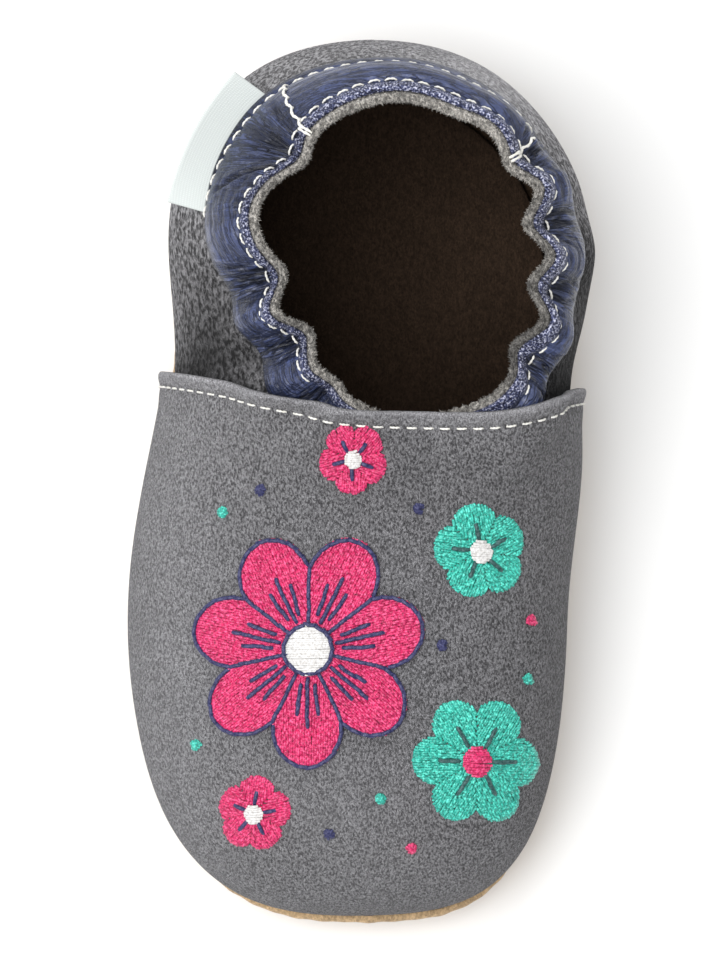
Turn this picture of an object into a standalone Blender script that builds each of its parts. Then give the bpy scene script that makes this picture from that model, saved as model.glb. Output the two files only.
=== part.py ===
"""Baby crawling shoe, right foot: a soft slip-on of suede and nappa leather, standing empty on its sole.

The toe points along -Y, the heel along +Y, and the inner side of the foot lies at +X. Lengths here are in
millimetres until the meshes are made. Every sheet is laid on one wall surface: t counts the sections round
the foot, s runs from the seam with the sole (0) to the edge of the opening (1), and a height above the
wall gives the layer.
"""

import bmesh
import bpy
import numpy as np

MM = 0.001

LENGTH = 130.0
BALL_WIDTH = 66.0
INSTEP_HEIGHT = 41.0
HEEL_HEIGHT = 49.5

SOLE_THICKNESS = 1.8
SOLE_CURL = 6.5
SEAM_HEIGHT = 6.0
TOE_SPRING = 2.5
# The insole's edge, from below: how far it lies inside the sole's rim, and how high above the sole.
INSOLE_EDGE = ((6.2, 0.0), (4.2, 1.1), (4.4, 1.6))

WALL_THICKNESS = 1.3
SEAT_GAP = 0.3
VAMP_THICKNESS = 1.5
VAMP_LIFT_RUN = 0.16
VAMP_LOOSE = 0.55
CASING_EDGE_THICKNESS = 0.8
CASING_PUFF = 1.0
CASING_RIM = 0.8
GATHER_START = 0.62
LABEL_THICKNESS = 0.6
LABEL_CLEAR = 0.008

# One row per section, from the back of the heel round the outer side to the toe and back by the inner side.
# rim_side, edge_side: share of half the ball width; rim_along, edge_along: share of the length from the toe.
# edge_height: the opening's height, from 0 at the instep to 1 at the back of the heel.
# tuck: how far the wall stands inside the sole's rim; splay, rise: how it leaves the seam, outwards and up.
# slope, reach: the angle in degrees and the distance over which it arrives at the opening.
# casing: width of the collar's casing.
COLUMNS = ("rim_side", "rim_along", "tuck", "splay", "rise", "edge_side", "edge_along", "edge_height",
           "slope", "reach", "casing")
SECTIONS = {
    "heel_back":          (0.05, 0.988, 0.5, 7.0, 22, 0.15, 0.904, 1.00, 58, 14, 11.0),
    "heel_back_lateral": (-0.43, 0.960, 0.5, 7.0, 21, -0.12, 0.880, 0.88, 50, 14, 13.2),
    "heel_lateral":      (-0.74, 0.862, 0.5, 6.5, 20, -0.31, 0.828, 0.71, 44, 15, 13.5),
    "quarter_lateral":   (-0.82, 0.741, 0.5, 5.0, 20, -0.40, 0.750, 0.51, 42, 14, 10.4),
    "waist_lateral":     (-0.845, 0.634, 1.5, 4.0, 19, -0.31, 0.668, 0.36, 40, 14, 7.6),
    "vamp_lateral":      (-0.92, 0.526, 2.0, 5.5, 19, -0.18, 0.612, 0.24, 34, 15, 8.2),
    "ball_lateral":      (-1.01, 0.395, 2.2, 6.0, 20, -0.08, 0.580, 0.10, 24, 17, 8.0),
    "little_toe":        (-1.015, 0.257, 2.3, 5.0, 20, 0.02, 0.563, 0.02, 20, 22, 7.0),
    "toe_lateral":       (-0.865, 0.109, 2.4, 3.0, 20, 0.10, 0.555, 0.00, 18, 28, 6.0),
    "toe_front_lateral": (-0.48, 0.016, 2.6, 2.0, 20, 0.17, 0.551, 0.00, 17, 33, 6.0),
    "toe_tip":            (0.05, -0.003, 2.8, 1.5, 20, 0.23, 0.550, 0.00, 16, 36, 6.0),
    "toe_front_medial":   (0.51, 0.017, 2.8, 2.0, 20, 0.30, 0.551, 0.00, 17, 33, 6.0),
    "toe_medial":         (0.80, 0.101, 2.4, 3.0, 20, 0.37, 0.554, 0.00, 18, 28, 6.0),
    "big_toe":            (0.91, 0.242, 2.3, 4.2, 20, 0.46, 0.560, 0.02, 20, 22, 6.5),
    "ball_medial":        (0.935, 0.380, 2.2, 4.2, 20, 0.57, 0.570, 0.10, 24, 17, 7.0),
    "vamp_medial":        (0.97, 0.511, 2.0, 4.2, 19, 0.68, 0.597, 0.24, 36, 14, 7.0),
    "waist_medial":       (0.945, 0.626, 1.5, 4.2, 19, 0.77, 0.657, 0.36, 52, 14, 7.8),
    "quarter_medial":     (0.98, 0.741, 0.5, 6.5, 20, 0.80, 0.742, 0.51, 60, 14, 10.6),
    "heel_medial":        (0.88, 0.862, 0.5, 6.0, 20, 0.70, 0.828, 0.71, 58, 14, 9.0),
    "heel_back_medial":   (0.53, 0.959, 0.5, 7.0, 21, 0.43, 0.886, 0.88, 56, 14, 10.2),
}

# One row per gather of the elasticated edge: its place in sections, its depth outwards, its half width.
GATHERS = (
    (1.82, -2.2, 0.32),
    (2.70, 3.0, 0.48),
    (3.50, -2.5, 0.26),
    (3.95, 2.7, 0.23),
    (4.48, -2.5, 0.26),
    (5.10, 1.2, 0.26),
    (5.85, -1.5, 0.34),
    (15.50, -2.0, 0.30),
    (16.05, 2.3, 0.26),
    (16.50, -1.2, 0.21),
    (16.85, 2.0, 0.22),
    (17.25, -1.6, 0.21),
    (17.65, 1.8, 0.22),
    (18.05, -1.0, 0.22),
    (18.55, 1.2, 0.36),
)

# The vamp's edge: furthest forward at one place across the shoe, it curves back on both sides of that and
# then runs straighter, from about the ease away. In the middle it stands out over the opening's front edge.
VAMP_EDGE_SIDE = 9.0
VAMP_EDGE_ALONG = 76.8
VAMP_EDGE_LATERAL_CURVE = 0.0103
VAMP_EDGE_LATERAL_EASE = 32.0
VAMP_EDGE_MEDIAL_CURVE = 0.0087
VAMP_EDGE_MEDIAL_EASE = 46.0
VAMP_EDGE_PER_HEIGHT = -0.10
VAMP_OVERHANG = 1.08
VAMP_ENDS = (4.05, 15.84)
CASING_ENDS = (-7.5, 7.5)
CASING_TAPER = 1.6

# The label's two ends on the casing's outer edge, in sections, and the straight line of its free edge.
LABEL_ENDS = (1.25, 2.62)
LABEL_FREE_EDGE = ((-18.4, 122.7, 39.0), (-27.9, 103.7, 37.0))

# Columns to a section, and shares of the way up the wall at which the sheets are shaped.
GATHERED_STEPS = 7
PLAIN_STEPS = 5
OUTER_ROWS = (0.0, 0.07, 0.14, 0.21, 0.28, 0.35, 0.42, 0.5, 0.6, 0.7, 0.8, 0.88, 0.94, 1.0)
INNER_ROWS = (0.0, 0.2, 0.4, 0.6, 0.8, 0.92, 1.0)
UNDER_ROWS = (0.0, 0.07, 0.14, 0.21, 0.28, 0.35, 0.42, 0.5, 0.6, 0.7, 0.8, 0.9, 1.0)

ROWS = {column: np.array([row[i] for row in SECTIONS.values()]) for i, column in enumerate(COLUMNS)}
COUNT = len(SECTIONS)


def around(column, t):
    """The column's smooth closed curve through its rows, at t."""
    blend = np.eye(COUNT) * 4.0 + np.roll(np.eye(COUNT), 1, axis=0) + np.roll(np.eye(COUNT), -1, axis=0)
    knots = np.linalg.solve(blend / 6.0, ROWS[column])
    i = np.floor(t).astype(int)
    f = t - i
    weights = ((1 - f) ** 3, 3 * f**3 - 6 * f**2 + 4, -3 * f**3 + 3 * f**2 + 3 * f + 1, f**3)
    return sum(weight / 6.0 * knots[(i - 1 + k) % COUNT] for k, weight in enumerate(weights))


def smooth(x):
    x = np.clip(x, 0.0, 1.0)
    return x * x * (3.0 - 2.0 * x)


def plan(side, along):
    return np.stack([side * BALL_WIDTH / 2.0, along * LENGTH], axis=-1)


def rim(t):
    return plan(around("rim_side", t), around("rim_along", t))


def outward(t):
    """The level direction out of the shoe, square to the sole's outline."""
    step = rim(t + 0.01) - rim(t - 0.01)
    normal = np.stack([step[..., 1], -step[..., 0]], axis=-1)
    return normal / np.linalg.norm(normal, axis=-1, keepdims=True)


def seam_height(t):
    along = around("rim_along", t)
    return SEAM_HEIGHT + TOE_SPRING * smooth((0.30 - along) / 0.30)


def wall(t, s):
    """A point on the upper's outer face before the elastic gathers it."""
    t, s = np.broadcast_arrays(np.asarray(t, float), np.asarray(s, float))
    out = outward(t)
    foot = rim(t) - around("tuck", t)[..., None] * out
    edge = plan(around("edge_side", t), around("edge_along", t))
    inward = foot - edge
    inward = inward / np.linalg.norm(inward, axis=-1, keepdims=True)
    slope = np.radians(around("slope", t))
    reach = around("reach", t)
    foot_z = seam_height(t)
    edge_z = INSTEP_HEIGHT + around("edge_height", t) * (HEEL_HEIGHT - INSTEP_HEIGHT)
    points = (
        np.concatenate([foot, foot_z[..., None]], axis=-1),
        np.concatenate([foot + around("splay", t)[..., None] * out, (foot_z + around("rise", t))[..., None]], -1),
        np.concatenate([edge + (reach * np.cos(slope))[..., None] * inward,
                        (edge_z - reach * np.sin(slope))[..., None]], axis=-1),
        np.concatenate([edge, edge_z[..., None]], axis=-1),
    )
    weights = ((1 - s) ** 3, 3 * s * (1 - s) ** 2, 3 * s**2 * (1 - s), s**3)
    return sum(weight[..., None] * point for weight, point in zip(weights, points))


def gather(t):
    """How far the elastic pushes the edge of the opening out, or pulls it in."""
    depth = np.zeros_like(t)
    for place, out, half_width in GATHERS:
        depth = depth + out * np.exp(-(((t % COUNT) - place) / half_width) ** 2)
    return depth


def layer(t, s, height):
    """A point this high above the gathered wall, moved level where the wall leans out, else square to it."""
    t, s, height = np.broadcast_arrays(np.asarray(t, float), np.asarray(s, float), np.asarray(height, float))
    step = 1e-3
    normal = np.cross(wall(t + step, s) - wall(t - step, s), wall(t, s + step) - wall(t, s - step))
    normal[..., 2] = np.maximum(normal[..., 2], 0.0)
    normal = normal / np.linalg.norm(normal, axis=-1, keepdims=True)
    gathered = gather(t) * smooth((s - GATHER_START) / (1.0 - GATHER_START))
    return wall(t, s) + (height + gathered)[..., None] * normal


def level_with_seam(points, t):
    points[..., 2] = seam_height(t)
    return points


def below_edge(t, distance):
    """The s that lies this far below the edge of the opening, measured down the wall."""
    s = np.linspace(1.0, 0.0, 61)
    path = wall(t, s)
    travelled = np.concatenate([[0.0], np.cumsum(np.linalg.norm(np.diff(path, axis=0), axis=-1))])
    return np.interp(distance, travelled, s)


def vamp_edge(t):
    """The s at which the wall passes the line that ends the vamp."""
    s = np.linspace(0.0, VAMP_OVERHANG, 201)
    side, along, height = wall(t, s).T
    across = side - VAMP_EDGE_SIDE
    curve = np.where(across < 0.0, VAMP_EDGE_LATERAL_CURVE, VAMP_EDGE_MEDIAL_CURVE)
    ease = np.where(across < 0.0, VAMP_EDGE_LATERAL_EASE, VAMP_EDGE_MEDIAL_EASE)
    back = curve * across**2 / (1.0 + (across / ease) ** 2)
    over = along - (VAMP_EDGE_ALONG + back + VAMP_EDGE_PER_HEIGHT * height)
    past = np.flatnonzero(over > 0.0)
    if not len(past):
        return VAMP_OVERHANG
    if past[0] == 0:
        return 0.0
    low, high = over[past[0] - 1], over[past[0]]
    return s[past[0] - 1] + (s[1] - s[0]) * low / (low - high)


def columns(start, end):
    """Places round the foot that all sheets share: closer together where the collar is gathered."""
    places = []
    for section in range(int(np.floor(start)), int(np.ceil(end))):
        steps = PLAIN_STEPS if 5 <= section % COUNT < 15 else GATHERED_STEPS
        places.extend(section + np.arange(steps) / steps)
    fixed = [start, *(t for t in VAMP_ENDS if start < t < end), end]
    free = [t for t in places if start < t < end and min(abs(t - place) for place in fixed) > 0.05]
    return sorted(set(fixed + free))


def material(name, colour, roughness):
    made = bpy.data.materials.new(name)
    made.use_nodes = True
    shader = made.node_tree.nodes["Principled BSDF"]
    shader.inputs["Base Color"].default_value = (*colour, 1.0)
    shader.inputs["Roughness"].default_value = roughness
    return made


def loft(name, rings, look, closed=False):
    """A solid through rings of points: closed on itself, or capped at its two ends."""
    shape = bmesh.new()
    loops = [[shape.verts.new(point * MM) for point in ring] for ring in np.asarray(rings, float)]
    pairs = list(zip(loops, loops[1:]))
    if closed:
        pairs.append((loops[-1], loops[0]))
    for first, second in pairs:
        for i in range(len(first)):
            j = (i + 1) % len(first)
            shape.faces.new((first[i], first[j], second[j], second[i]))
    if not closed:
        shape.faces.new(loops[0][::-1])
        shape.faces.new(loops[-1])
    bmesh.ops.recalc_face_normals(shape, faces=shape.faces)
    mesh = bpy.data.meshes.new(name)
    shape.to_mesh(mesh)
    shape.free()
    mesh.materials.append(look)
    made = bpy.data.objects.new(name, mesh)
    bpy.context.scene.collection.objects.link(made)
    return made


def sole_ring(t, inset, height):
    return np.concatenate([rim(t) - inset[..., None] * outward(t), height[..., None]], axis=-1)


def build_sole(look):
    """A shallow dish: flat on the floor, its border curled up to the seam."""
    t = np.linspace(0.0, COUNT, 64, endpoint=False)
    top = seam_height(t) - SEAT_GAP
    still = np.ones_like(t)
    rings = []
    for turn in np.radians((90, 66, 44, 22, 0)):
        rings.append(sole_ring(t, still * SOLE_CURL * (1 - np.cos(turn)), top * (1 - np.sin(turn))))
    for turn in np.radians((0, 30, 60, 90)):
        inset = SOLE_CURL - (SOLE_CURL - SOLE_THICKNESS) * np.cos(turn)
        rings.append(sole_ring(t, still * inset, top - (top - SOLE_THICKNESS) * np.sin(turn)))
    return loft("sole", rings, look)


def build_insole(look):
    """A flat pad on the sole that fills the hollow of its curled border."""
    t = np.linspace(0.0, COUNT, 48, endpoint=False)
    bottom = SOLE_THICKNESS + SEAT_GAP
    still = np.ones_like(t)
    return loft("insole", [sole_ring(t, still * inset, still * (bottom + up)) for inset, up in INSOLE_EDGE], look)


def build_upper(look):
    """The hollow wall, open at the ankle and underneath."""
    t = np.array(columns(0.0, COUNT)[:-1])
    rings = []
    for s in OUTER_ROWS:
        ring = layer(t, s, 0.0)
        rings.append(level_with_seam(ring, t) if s == 0.0 else ring)
    for s in INNER_ROWS[::-1]:
        ring = layer(t, s, -WALL_THICKNESS)
        rings.append(level_with_seam(ring, t) if s == 0.0 else ring)
    return loft("upper", rings, look, closed=True)


def casing_puff(t):
    """How thick the casing is at the middle of its width: its ends are pressed flat under the vamp."""
    from_end = CASING_ENDS[1] - np.abs((t + COUNT / 2.0) % COUNT - COUNT / 2.0)
    return CASING_EDGE_THICKNESS + CASING_PUFF * smooth(from_end / CASING_TAPER), from_end


def casing_foot(t):
    return below_edge(t, CASING_RIM + float(around("casing", np.asarray(t))))


def vamp_height(t, s, edge):
    """How high the vamp's under face stands off the wall: at its loose edge, and over the casing's ends."""
    puff, from_end = casing_puff(t)
    lift = (puff + SEAT_GAP) * smooth(1.0 + from_end / CASING_TAPER)
    from_corner = min(t - VAMP_ENDS[0], VAMP_ENDS[1] - t)
    loose = np.maximum(smooth(1.0 + (s - edge) / VAMP_LIFT_RUN), smooth(1.0 - from_corner / 0.5))
    return SEAT_GAP + VAMP_LOOSE * loose + lift * smooth(1.0 + (s - casing_foot(t)) / VAMP_LIFT_RUN)


def build_vamp(look):
    """The front panel, from the toe seam to the loose edge across the instep."""
    rings = []
    for t in columns(*VAMP_ENDS):
        edge = vamp_edge(t)
        over_s = np.array(OUTER_ROWS) * edge
        under_s = np.array(UNDER_ROWS) * edge
        under = layer(t, under_s, vamp_height(t, under_s, edge))
        over = layer(t, over_s, vamp_height(t, over_s, edge) + VAMP_THICKNESS)
        level_with_seam(under[0], np.asarray(t))
        level_with_seam(over[0], np.asarray(t))
        rings.append(np.concatenate([over, under[::-1]]))
    return loft("vamp", rings, look)


def build_casing(look):
    """The elastic's padded tunnel on the collar; its ends lie under the vamp's edge."""
    rings = []
    over_rows = np.array((0.0, 0.12, 0.35, 0.65, 0.88, 1.0))
    under_rows = np.array((0.0, 0.33, 0.67, 1.0))
    for t in columns(*CASING_ENDS):
        puff, _ = casing_puff(t)
        bulge = CASING_EDGE_THICKNESS + (puff - CASING_EDGE_THICKNESS) * np.sin(np.pi * over_rows) ** 0.8
        low = casing_foot(t)
        high = below_edge(t, CASING_RIM)
        over = layer(t, low + (high - low) * over_rows, SEAT_GAP + bulge)
        under = layer(t, low + (high - low) * under_rows, SEAT_GAP)
        rings.append(np.concatenate([over, under[::-1]]))
    return loft("collar_casing", rings, look)


def build_label(look):
    """A blank folded ribbon caught under the casing's outer edge, standing out from the side of the heel."""
    rings = []
    free_start, free_end = (np.array(point) for point in LABEL_FREE_EDGE)
    for share in np.linspace(0.0, 1.0, 9):
        t = LABEL_ENDS[0] + share * (LABEL_ENDS[1] - LABEL_ENDS[0])
        low = casing_foot(t) - LABEL_CLEAR
        held = layer(t, low, SEAT_GAP + LABEL_THICKNESS / 2.0)
        free = free_start + share * (free_end - free_start)
        half = np.array((0.0, 0.0, LABEL_THICKNESS / 2.0))
        rings.append([held - half, free - half, free + half, held + half])
    return loft("side_label", rings, look)


def centre_on_floor(pieces):
    """Moves the shoe so that the middle of its box, at floor level, is the origin."""
    points = np.concatenate([[tuple(v.co) for v in piece.data.vertices] for piece in pieces])
    low, high = points.min(axis=0), points.max(axis=0)
    for piece in pieces:
        for v in piece.data.vertices:
            v.co.x -= (low[0] + high[0]) / 2.0
            v.co.y -= (low[1] + high[1]) / 2.0
            v.co.z -= low[2]


for old in list(bpy.data.objects):
    bpy.data.objects.remove(old, do_unlink=True)

grey_suede = material("grey_suede", (0.17, 0.17, 0.18), 0.95)
shoe = [
    build_sole(material("tan_suede", (0.50, 0.37, 0.22), 0.95)),
    build_insole(material("brown_suede", (0.016, 0.011, 0.007), 0.95)),
    build_upper(grey_suede),
    build_vamp(material("grey_vamp_suede", (0.18, 0.18, 0.19), 0.95)),
    build_casing(material("blue_nappa", (0.05, 0.07, 0.19), 0.5)),
    build_label(material("white_ribbon", (0.75, 0.80, 0.78), 0.8)),
]
centre_on_floor(shoe)
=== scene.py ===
import bmesh
import bpy
import numpy as np
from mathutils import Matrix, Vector
from mathutils.bvhtree import BVHTree
from mathutils.kdtree import KDTree


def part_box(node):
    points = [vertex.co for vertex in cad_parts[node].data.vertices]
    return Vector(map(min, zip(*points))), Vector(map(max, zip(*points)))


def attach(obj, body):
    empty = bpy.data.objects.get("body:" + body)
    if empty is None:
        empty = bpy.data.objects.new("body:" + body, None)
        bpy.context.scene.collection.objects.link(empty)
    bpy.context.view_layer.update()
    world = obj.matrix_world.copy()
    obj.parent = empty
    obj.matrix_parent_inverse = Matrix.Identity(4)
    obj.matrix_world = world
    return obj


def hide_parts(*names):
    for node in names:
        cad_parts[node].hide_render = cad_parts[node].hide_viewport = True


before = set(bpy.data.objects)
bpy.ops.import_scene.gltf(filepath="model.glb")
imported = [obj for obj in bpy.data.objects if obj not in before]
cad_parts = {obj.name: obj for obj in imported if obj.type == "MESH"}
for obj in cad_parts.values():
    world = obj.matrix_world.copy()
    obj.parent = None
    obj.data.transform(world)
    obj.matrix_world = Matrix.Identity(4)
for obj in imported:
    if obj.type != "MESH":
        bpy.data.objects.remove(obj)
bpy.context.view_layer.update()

# Sole: one piece of tan suede, cut to the outline of the foot and turned up all round to the seam with the
# upper. That seam is sewn inside out, so only its pull shows, as small puckers along the top of the border.
# Lengths are in millimetres until a mesh is made.
MM = 0.001
LENGTH = 130.0
HALF_BALL_WIDTH = 33.0
SOLE_THICKNESS = 1.8
SOLE_CURL = 6.5
SEAM_HEIGHT = 6.0
TOE_SPRING = 2.5
SPRING_RUN = 0.30
SEAT_GAP = 0.3
SOLE_COLUMNS = 720
SOLE_OUTER_ROWS = 15
SOLE_EDGE_ROWS = 8
SOLE_EDGE_TURN = (20.0, 160.0)
SOLE_INNER_ROWS = 12
SOLE_PARTS_ACROSS = 36
FRAME_SOLE_COLUMNS = 64
PUCKER_PITCH = 3.6
PUCKER_DEPTH = 0.05
PUCKER_UNREST = 4.0
NAP_TURN = (0.0, 0.0, 0.35)
NAP_STRETCH = (1.0, 0.60, 0.75)
# One row per stretch where the stuffed-out vamp hides the border: section, half length in sections, inset.
SOLE_DRAWN = ((7.7, 1.3, 0.9), (12.6, 1.4, 0.9))

# One row per section, from the back of the heel round the outer side to the toe and back by the inner side:
# the sole's rim, as a share of half the ball width and as a share of the length from the toe.
RIM = {
    "heel_back": (0.05, 0.988),
    "heel_back_lateral": (-0.43, 0.960),
    "heel_lateral": (-0.74, 0.862),
    "quarter_lateral": (-0.82, 0.741),
    "waist_lateral": (-0.845, 0.634),
    "vamp_lateral": (-0.92, 0.526),
    "ball_lateral": (-1.01, 0.395),
    "little_toe": (-1.015, 0.257),
    "toe_lateral": (-0.865, 0.109),
    "toe_front_lateral": (-0.48, 0.016),
    "toe_tip": (0.05, -0.003),
    "toe_front_medial": (0.51, 0.017),
    "toe_medial": (0.80, 0.101),
    "big_toe": (0.91, 0.242),
    "ball_medial": (0.935, 0.380),
    "vamp_medial": (0.97, 0.511),
    "waist_medial": (0.945, 0.626),
    "quarter_medial": (0.98, 0.741),
    "heel_medial": (0.88, 0.862),
    "heel_back_medial": (0.53, 0.959),
}
SECTIONS = len(RIM)
RIM_SIDE, RIM_ALONG = np.array(list(RIM.values())).T


def around(values, t):
    """A smooth closed curve through one value per section, at t sections round the foot from the heel's back."""
    one = np.eye(SECTIONS)
    knots = np.linalg.solve((4.0 * one + np.roll(one, 1, axis=0) + np.roll(one, -1, axis=0)) / 6.0, values)
    i = np.floor(t).astype(int)
    f = t - i
    weights = ((1 - f) ** 3, 3 * f**3 - 6 * f**2 + 4, -3 * f**3 + 3 * f**2 + 3 * f + 1, f**3)
    return sum(weight / 6.0 * knots[(i - 1 + k) % SECTIONS] for k, weight in enumerate(weights))


def smooth(x):
    """A soft step from 0 to 1."""
    x = np.clip(x, 0.0, 1.0)
    return x * x * (3.0 - 2.0 * x)


def bell(x):
    """A soft bump that is 1 in its middle and dies away past 1 on either side."""
    return np.exp(-(x**2))


def unit(direction):
    return direction / np.linalg.norm(direction, axis=-1, keepdims=True)


def columns_round(count):
    """This many even places round the foot, in sections."""
    return np.linspace(0.0, SECTIONS, count, endpoint=False)


def plan(side, along):
    return np.stack([side * HALF_BALL_WIDTH, along * LENGTH], axis=-1)


# The frame says where the sole lies: its lowest corner there places the toe of the outline above.
frame_columns = columns_round(FRAME_SOLE_COLUMNS)
bare_outline = plan(around(RIM_SIDE, frame_columns), around(RIM_ALONG, frame_columns))
TOE_PLACE = np.array(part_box("sole")[0])[:2] / MM - bare_outline.min(axis=0)


def rim(t):
    return plan(around(RIM_SIDE, t), around(RIM_ALONG, t)) + TOE_PLACE


def outward(t):
    """The level direction out of the shoe, square to the sole's outline."""
    step = rim(t + 0.01) - rim(t - 0.01)
    return unit(np.stack([step[..., 1], -step[..., 0]], axis=-1))


def seam_height(t):
    return SEAM_HEIGHT + TOE_SPRING * smooth((SPRING_RUN - around(RIM_ALONG, t)) / SPRING_RUN)


def travelled(path):
    """How far along a path each of its points lies."""
    steps = np.linalg.norm(np.diff(path, axis=-2), axis=-1)
    return np.concatenate([np.zeros_like(steps[..., :1]), np.cumsum(steps, axis=-1)], axis=-1)


def unrest(x, size, seed):
    """An even, repeatable irregularity between about -1 and 1, with bumps of about this size along x."""
    draw = np.random.default_rng(seed)
    waves = sum(np.sin(2 * np.pi * (x / (size * draw.uniform(1.2, 3.2)) + draw.uniform())) for _ in range(5))
    return waves / 2.6


def grid_faces(rows, columns, loop_rows=False, loop_columns=False):
    """Faces between the neighbouring rows and columns of a grid of points."""
    r = np.arange(rows if loop_rows else rows - 1)[:, None]
    c = np.arange(columns if loop_columns else columns - 1)[None, :]
    corners = ((r, c), (r, c + 1), (r + 1, c + 1), (r + 1, c))
    return np.stack([(i % rows) * columns + j % columns for i, j in corners], axis=-1).reshape(-1, 4)


def bridged(ring, ring_first, first, parts):
    """Points and faces that close a ring: lines across it from side to side, each cut into equal parts."""
    half = len(ring) // 2
    left = np.arange(1, half)
    shares = np.linspace(0.0, 1.0, parts + 1)[1:-1, None]
    inner = ring[left][:, None] * (1 - shares) + ring[-left][:, None] * shares
    numbers = first + np.arange(inner.shape[0] * inner.shape[1]).reshape(inner.shape[:2])
    numbers = np.column_stack([ring_first + left, numbers, ring_first + len(ring) - left])
    faces = np.stack([numbers[:-1, :-1], numbers[:-1, 1:], numbers[1:, 1:], numbers[1:, :-1]], -1).reshape(-1, 4)
    fans = [(ring_first + end, line[k], line[k + 1])
            for end, line in ((0, numbers[0]), (half, numbers[-1])) for k in range(parts)]
    return inner.reshape(-1, 3), faces.tolist() + fans


def lidded(rings, parts):
    """Points and faces of rings that are closed across the first and the last, and where each lid's ones start."""
    columns = len(rings[0])
    points = np.concatenate(rings)
    faces = grid_faces(len(rings), columns, loop_columns=True).tolist()
    starts = []
    for row in (0, len(rings) - 1):
        starts.append((len(points), len(faces)))
        lid_points, lid_faces = bridged(rings[row], row * columns, len(points), parts)
        points = np.concatenate([points, lid_points])
        faces += lid_faces
    return points, faces, starts


def placed(name, data):
    """An object in the scene that shows this data."""
    made = bpy.data.objects.new(name, data)
    bpy.context.scene.collection.objects.link(made)
    return made


def piece(name, points, faces, looks, face_looks=None, notes=None):
    """A smooth mesh of points in millimetres, faces turned outwards; notes are values kept on the points."""
    mesh = bpy.data.meshes.new(name)
    mesh.from_pydata((np.asarray(points) * MM).tolist(), [], faces)
    for look in looks:
        mesh.materials.append(look)
    if face_looks is not None:
        mesh.polygons.foreach_set("material_index", np.asarray(face_looks, np.int32))
    for note, values in (notes or {}).items():
        kind, slot = ("FLOAT_VECTOR", "vector") if values.ndim == 2 else ("FLOAT", "value")
        mesh.attributes.new(note, kind, "POINT").data.foreach_set(slot, values.astype(np.float32).ravel())
    shape = bmesh.new()
    shape.from_mesh(mesh)
    bmesh.ops.recalc_face_normals(shape, faces=shape.faces[:])
    shape.to_mesh(mesh)
    shape.free()
    mesh.shade_smooth()
    return placed(name, mesh)


def colour(red, green, blue):
    """A colour as a photograph shows it, 0 to 255 a channel, turned into light for a shader."""
    channels = np.array((red, green, blue)) / 255.0
    light = np.where(channels <= 0.04045, channels / 12.92, ((channels + 0.055) / 1.055) ** 2.4)
    return (*light, 1.0)


def fill(tree, node, inputs):
    """Fills in a node's inputs, each with a value or with another node's output."""
    for name, given in inputs.items():
        if isinstance(given, bpy.types.NodeSocket):
            tree.links.new(given, node.inputs[name])
        else:
            node.inputs[name].default_value = given


def add(tree, kind, inputs=None, **settings):
    """A new node, with its settings and inputs filled in."""
    made = tree.nodes.new(kind)
    for setting, value in settings.items():
        setattr(made, setting, value)
    fill(tree, made, inputs or {})
    return made


def maths(tree, operation, *values, **settings):
    return add(tree, "ShaderNodeMath", dict(enumerate(values)), operation=operation, **settings).outputs["Value"]


def scaled(tree, vector, scale):
    return add(tree, "ShaderNodeVectorMath", {"Vector": vector, "Scale": scale}, operation="SCALE").outputs["Vector"]


def carried(tree, value, start, end, low, high, **settings):
    """A value carried over from the range start to end into the range low to high."""
    inputs = {"Value": value, "From Min": start, "From Max": end, "To Min": low, "To Max": high}
    return add(tree, "ShaderNodeMapRange", inputs, **settings).outputs["Result"]


def noted(tree, note, output="Fac"):
    return add(tree, "ShaderNodeAttribute", attribute_name=note).outputs[output]


def lumps(tree, where, size, **inputs):
    """Noise with lumps of about this size in millimetres."""
    return add(tree, "ShaderNodeTexNoise", {"Vector": where, "Scale": 1.0 / (size * MM), **inputs}).outputs["Fac"]


def speckle(tree, where, size, detail, low, high):
    """Grains of about this size in millimetres, spread from low to high."""
    grains = lumps(tree, where, size, Detail=detail, Roughness=0.6)
    return carried(tree, grains, 0.32, 0.68, low, high, clamp=False)


def bumps(tree, strength, distance, height, **under):
    """Relief this deep, in millimetres, over any relief under it."""
    inputs = {"Strength": strength, "Distance": distance * MM, "Height": height, **under}
    return add(tree, "ShaderNodeBump", inputs).outputs["Normal"]


def blank_look(name, roughness, specular):
    """A new material, its tree and its shader."""
    look = bpy.data.materials.new(name)
    look.use_nodes = True
    shader = look.node_tree.nodes["Principled BSDF"]
    fill(look.node_tree, shader, {"Roughness": roughness, "Specular IOR Level": specular})
    return look, look.node_tree, shader


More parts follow.
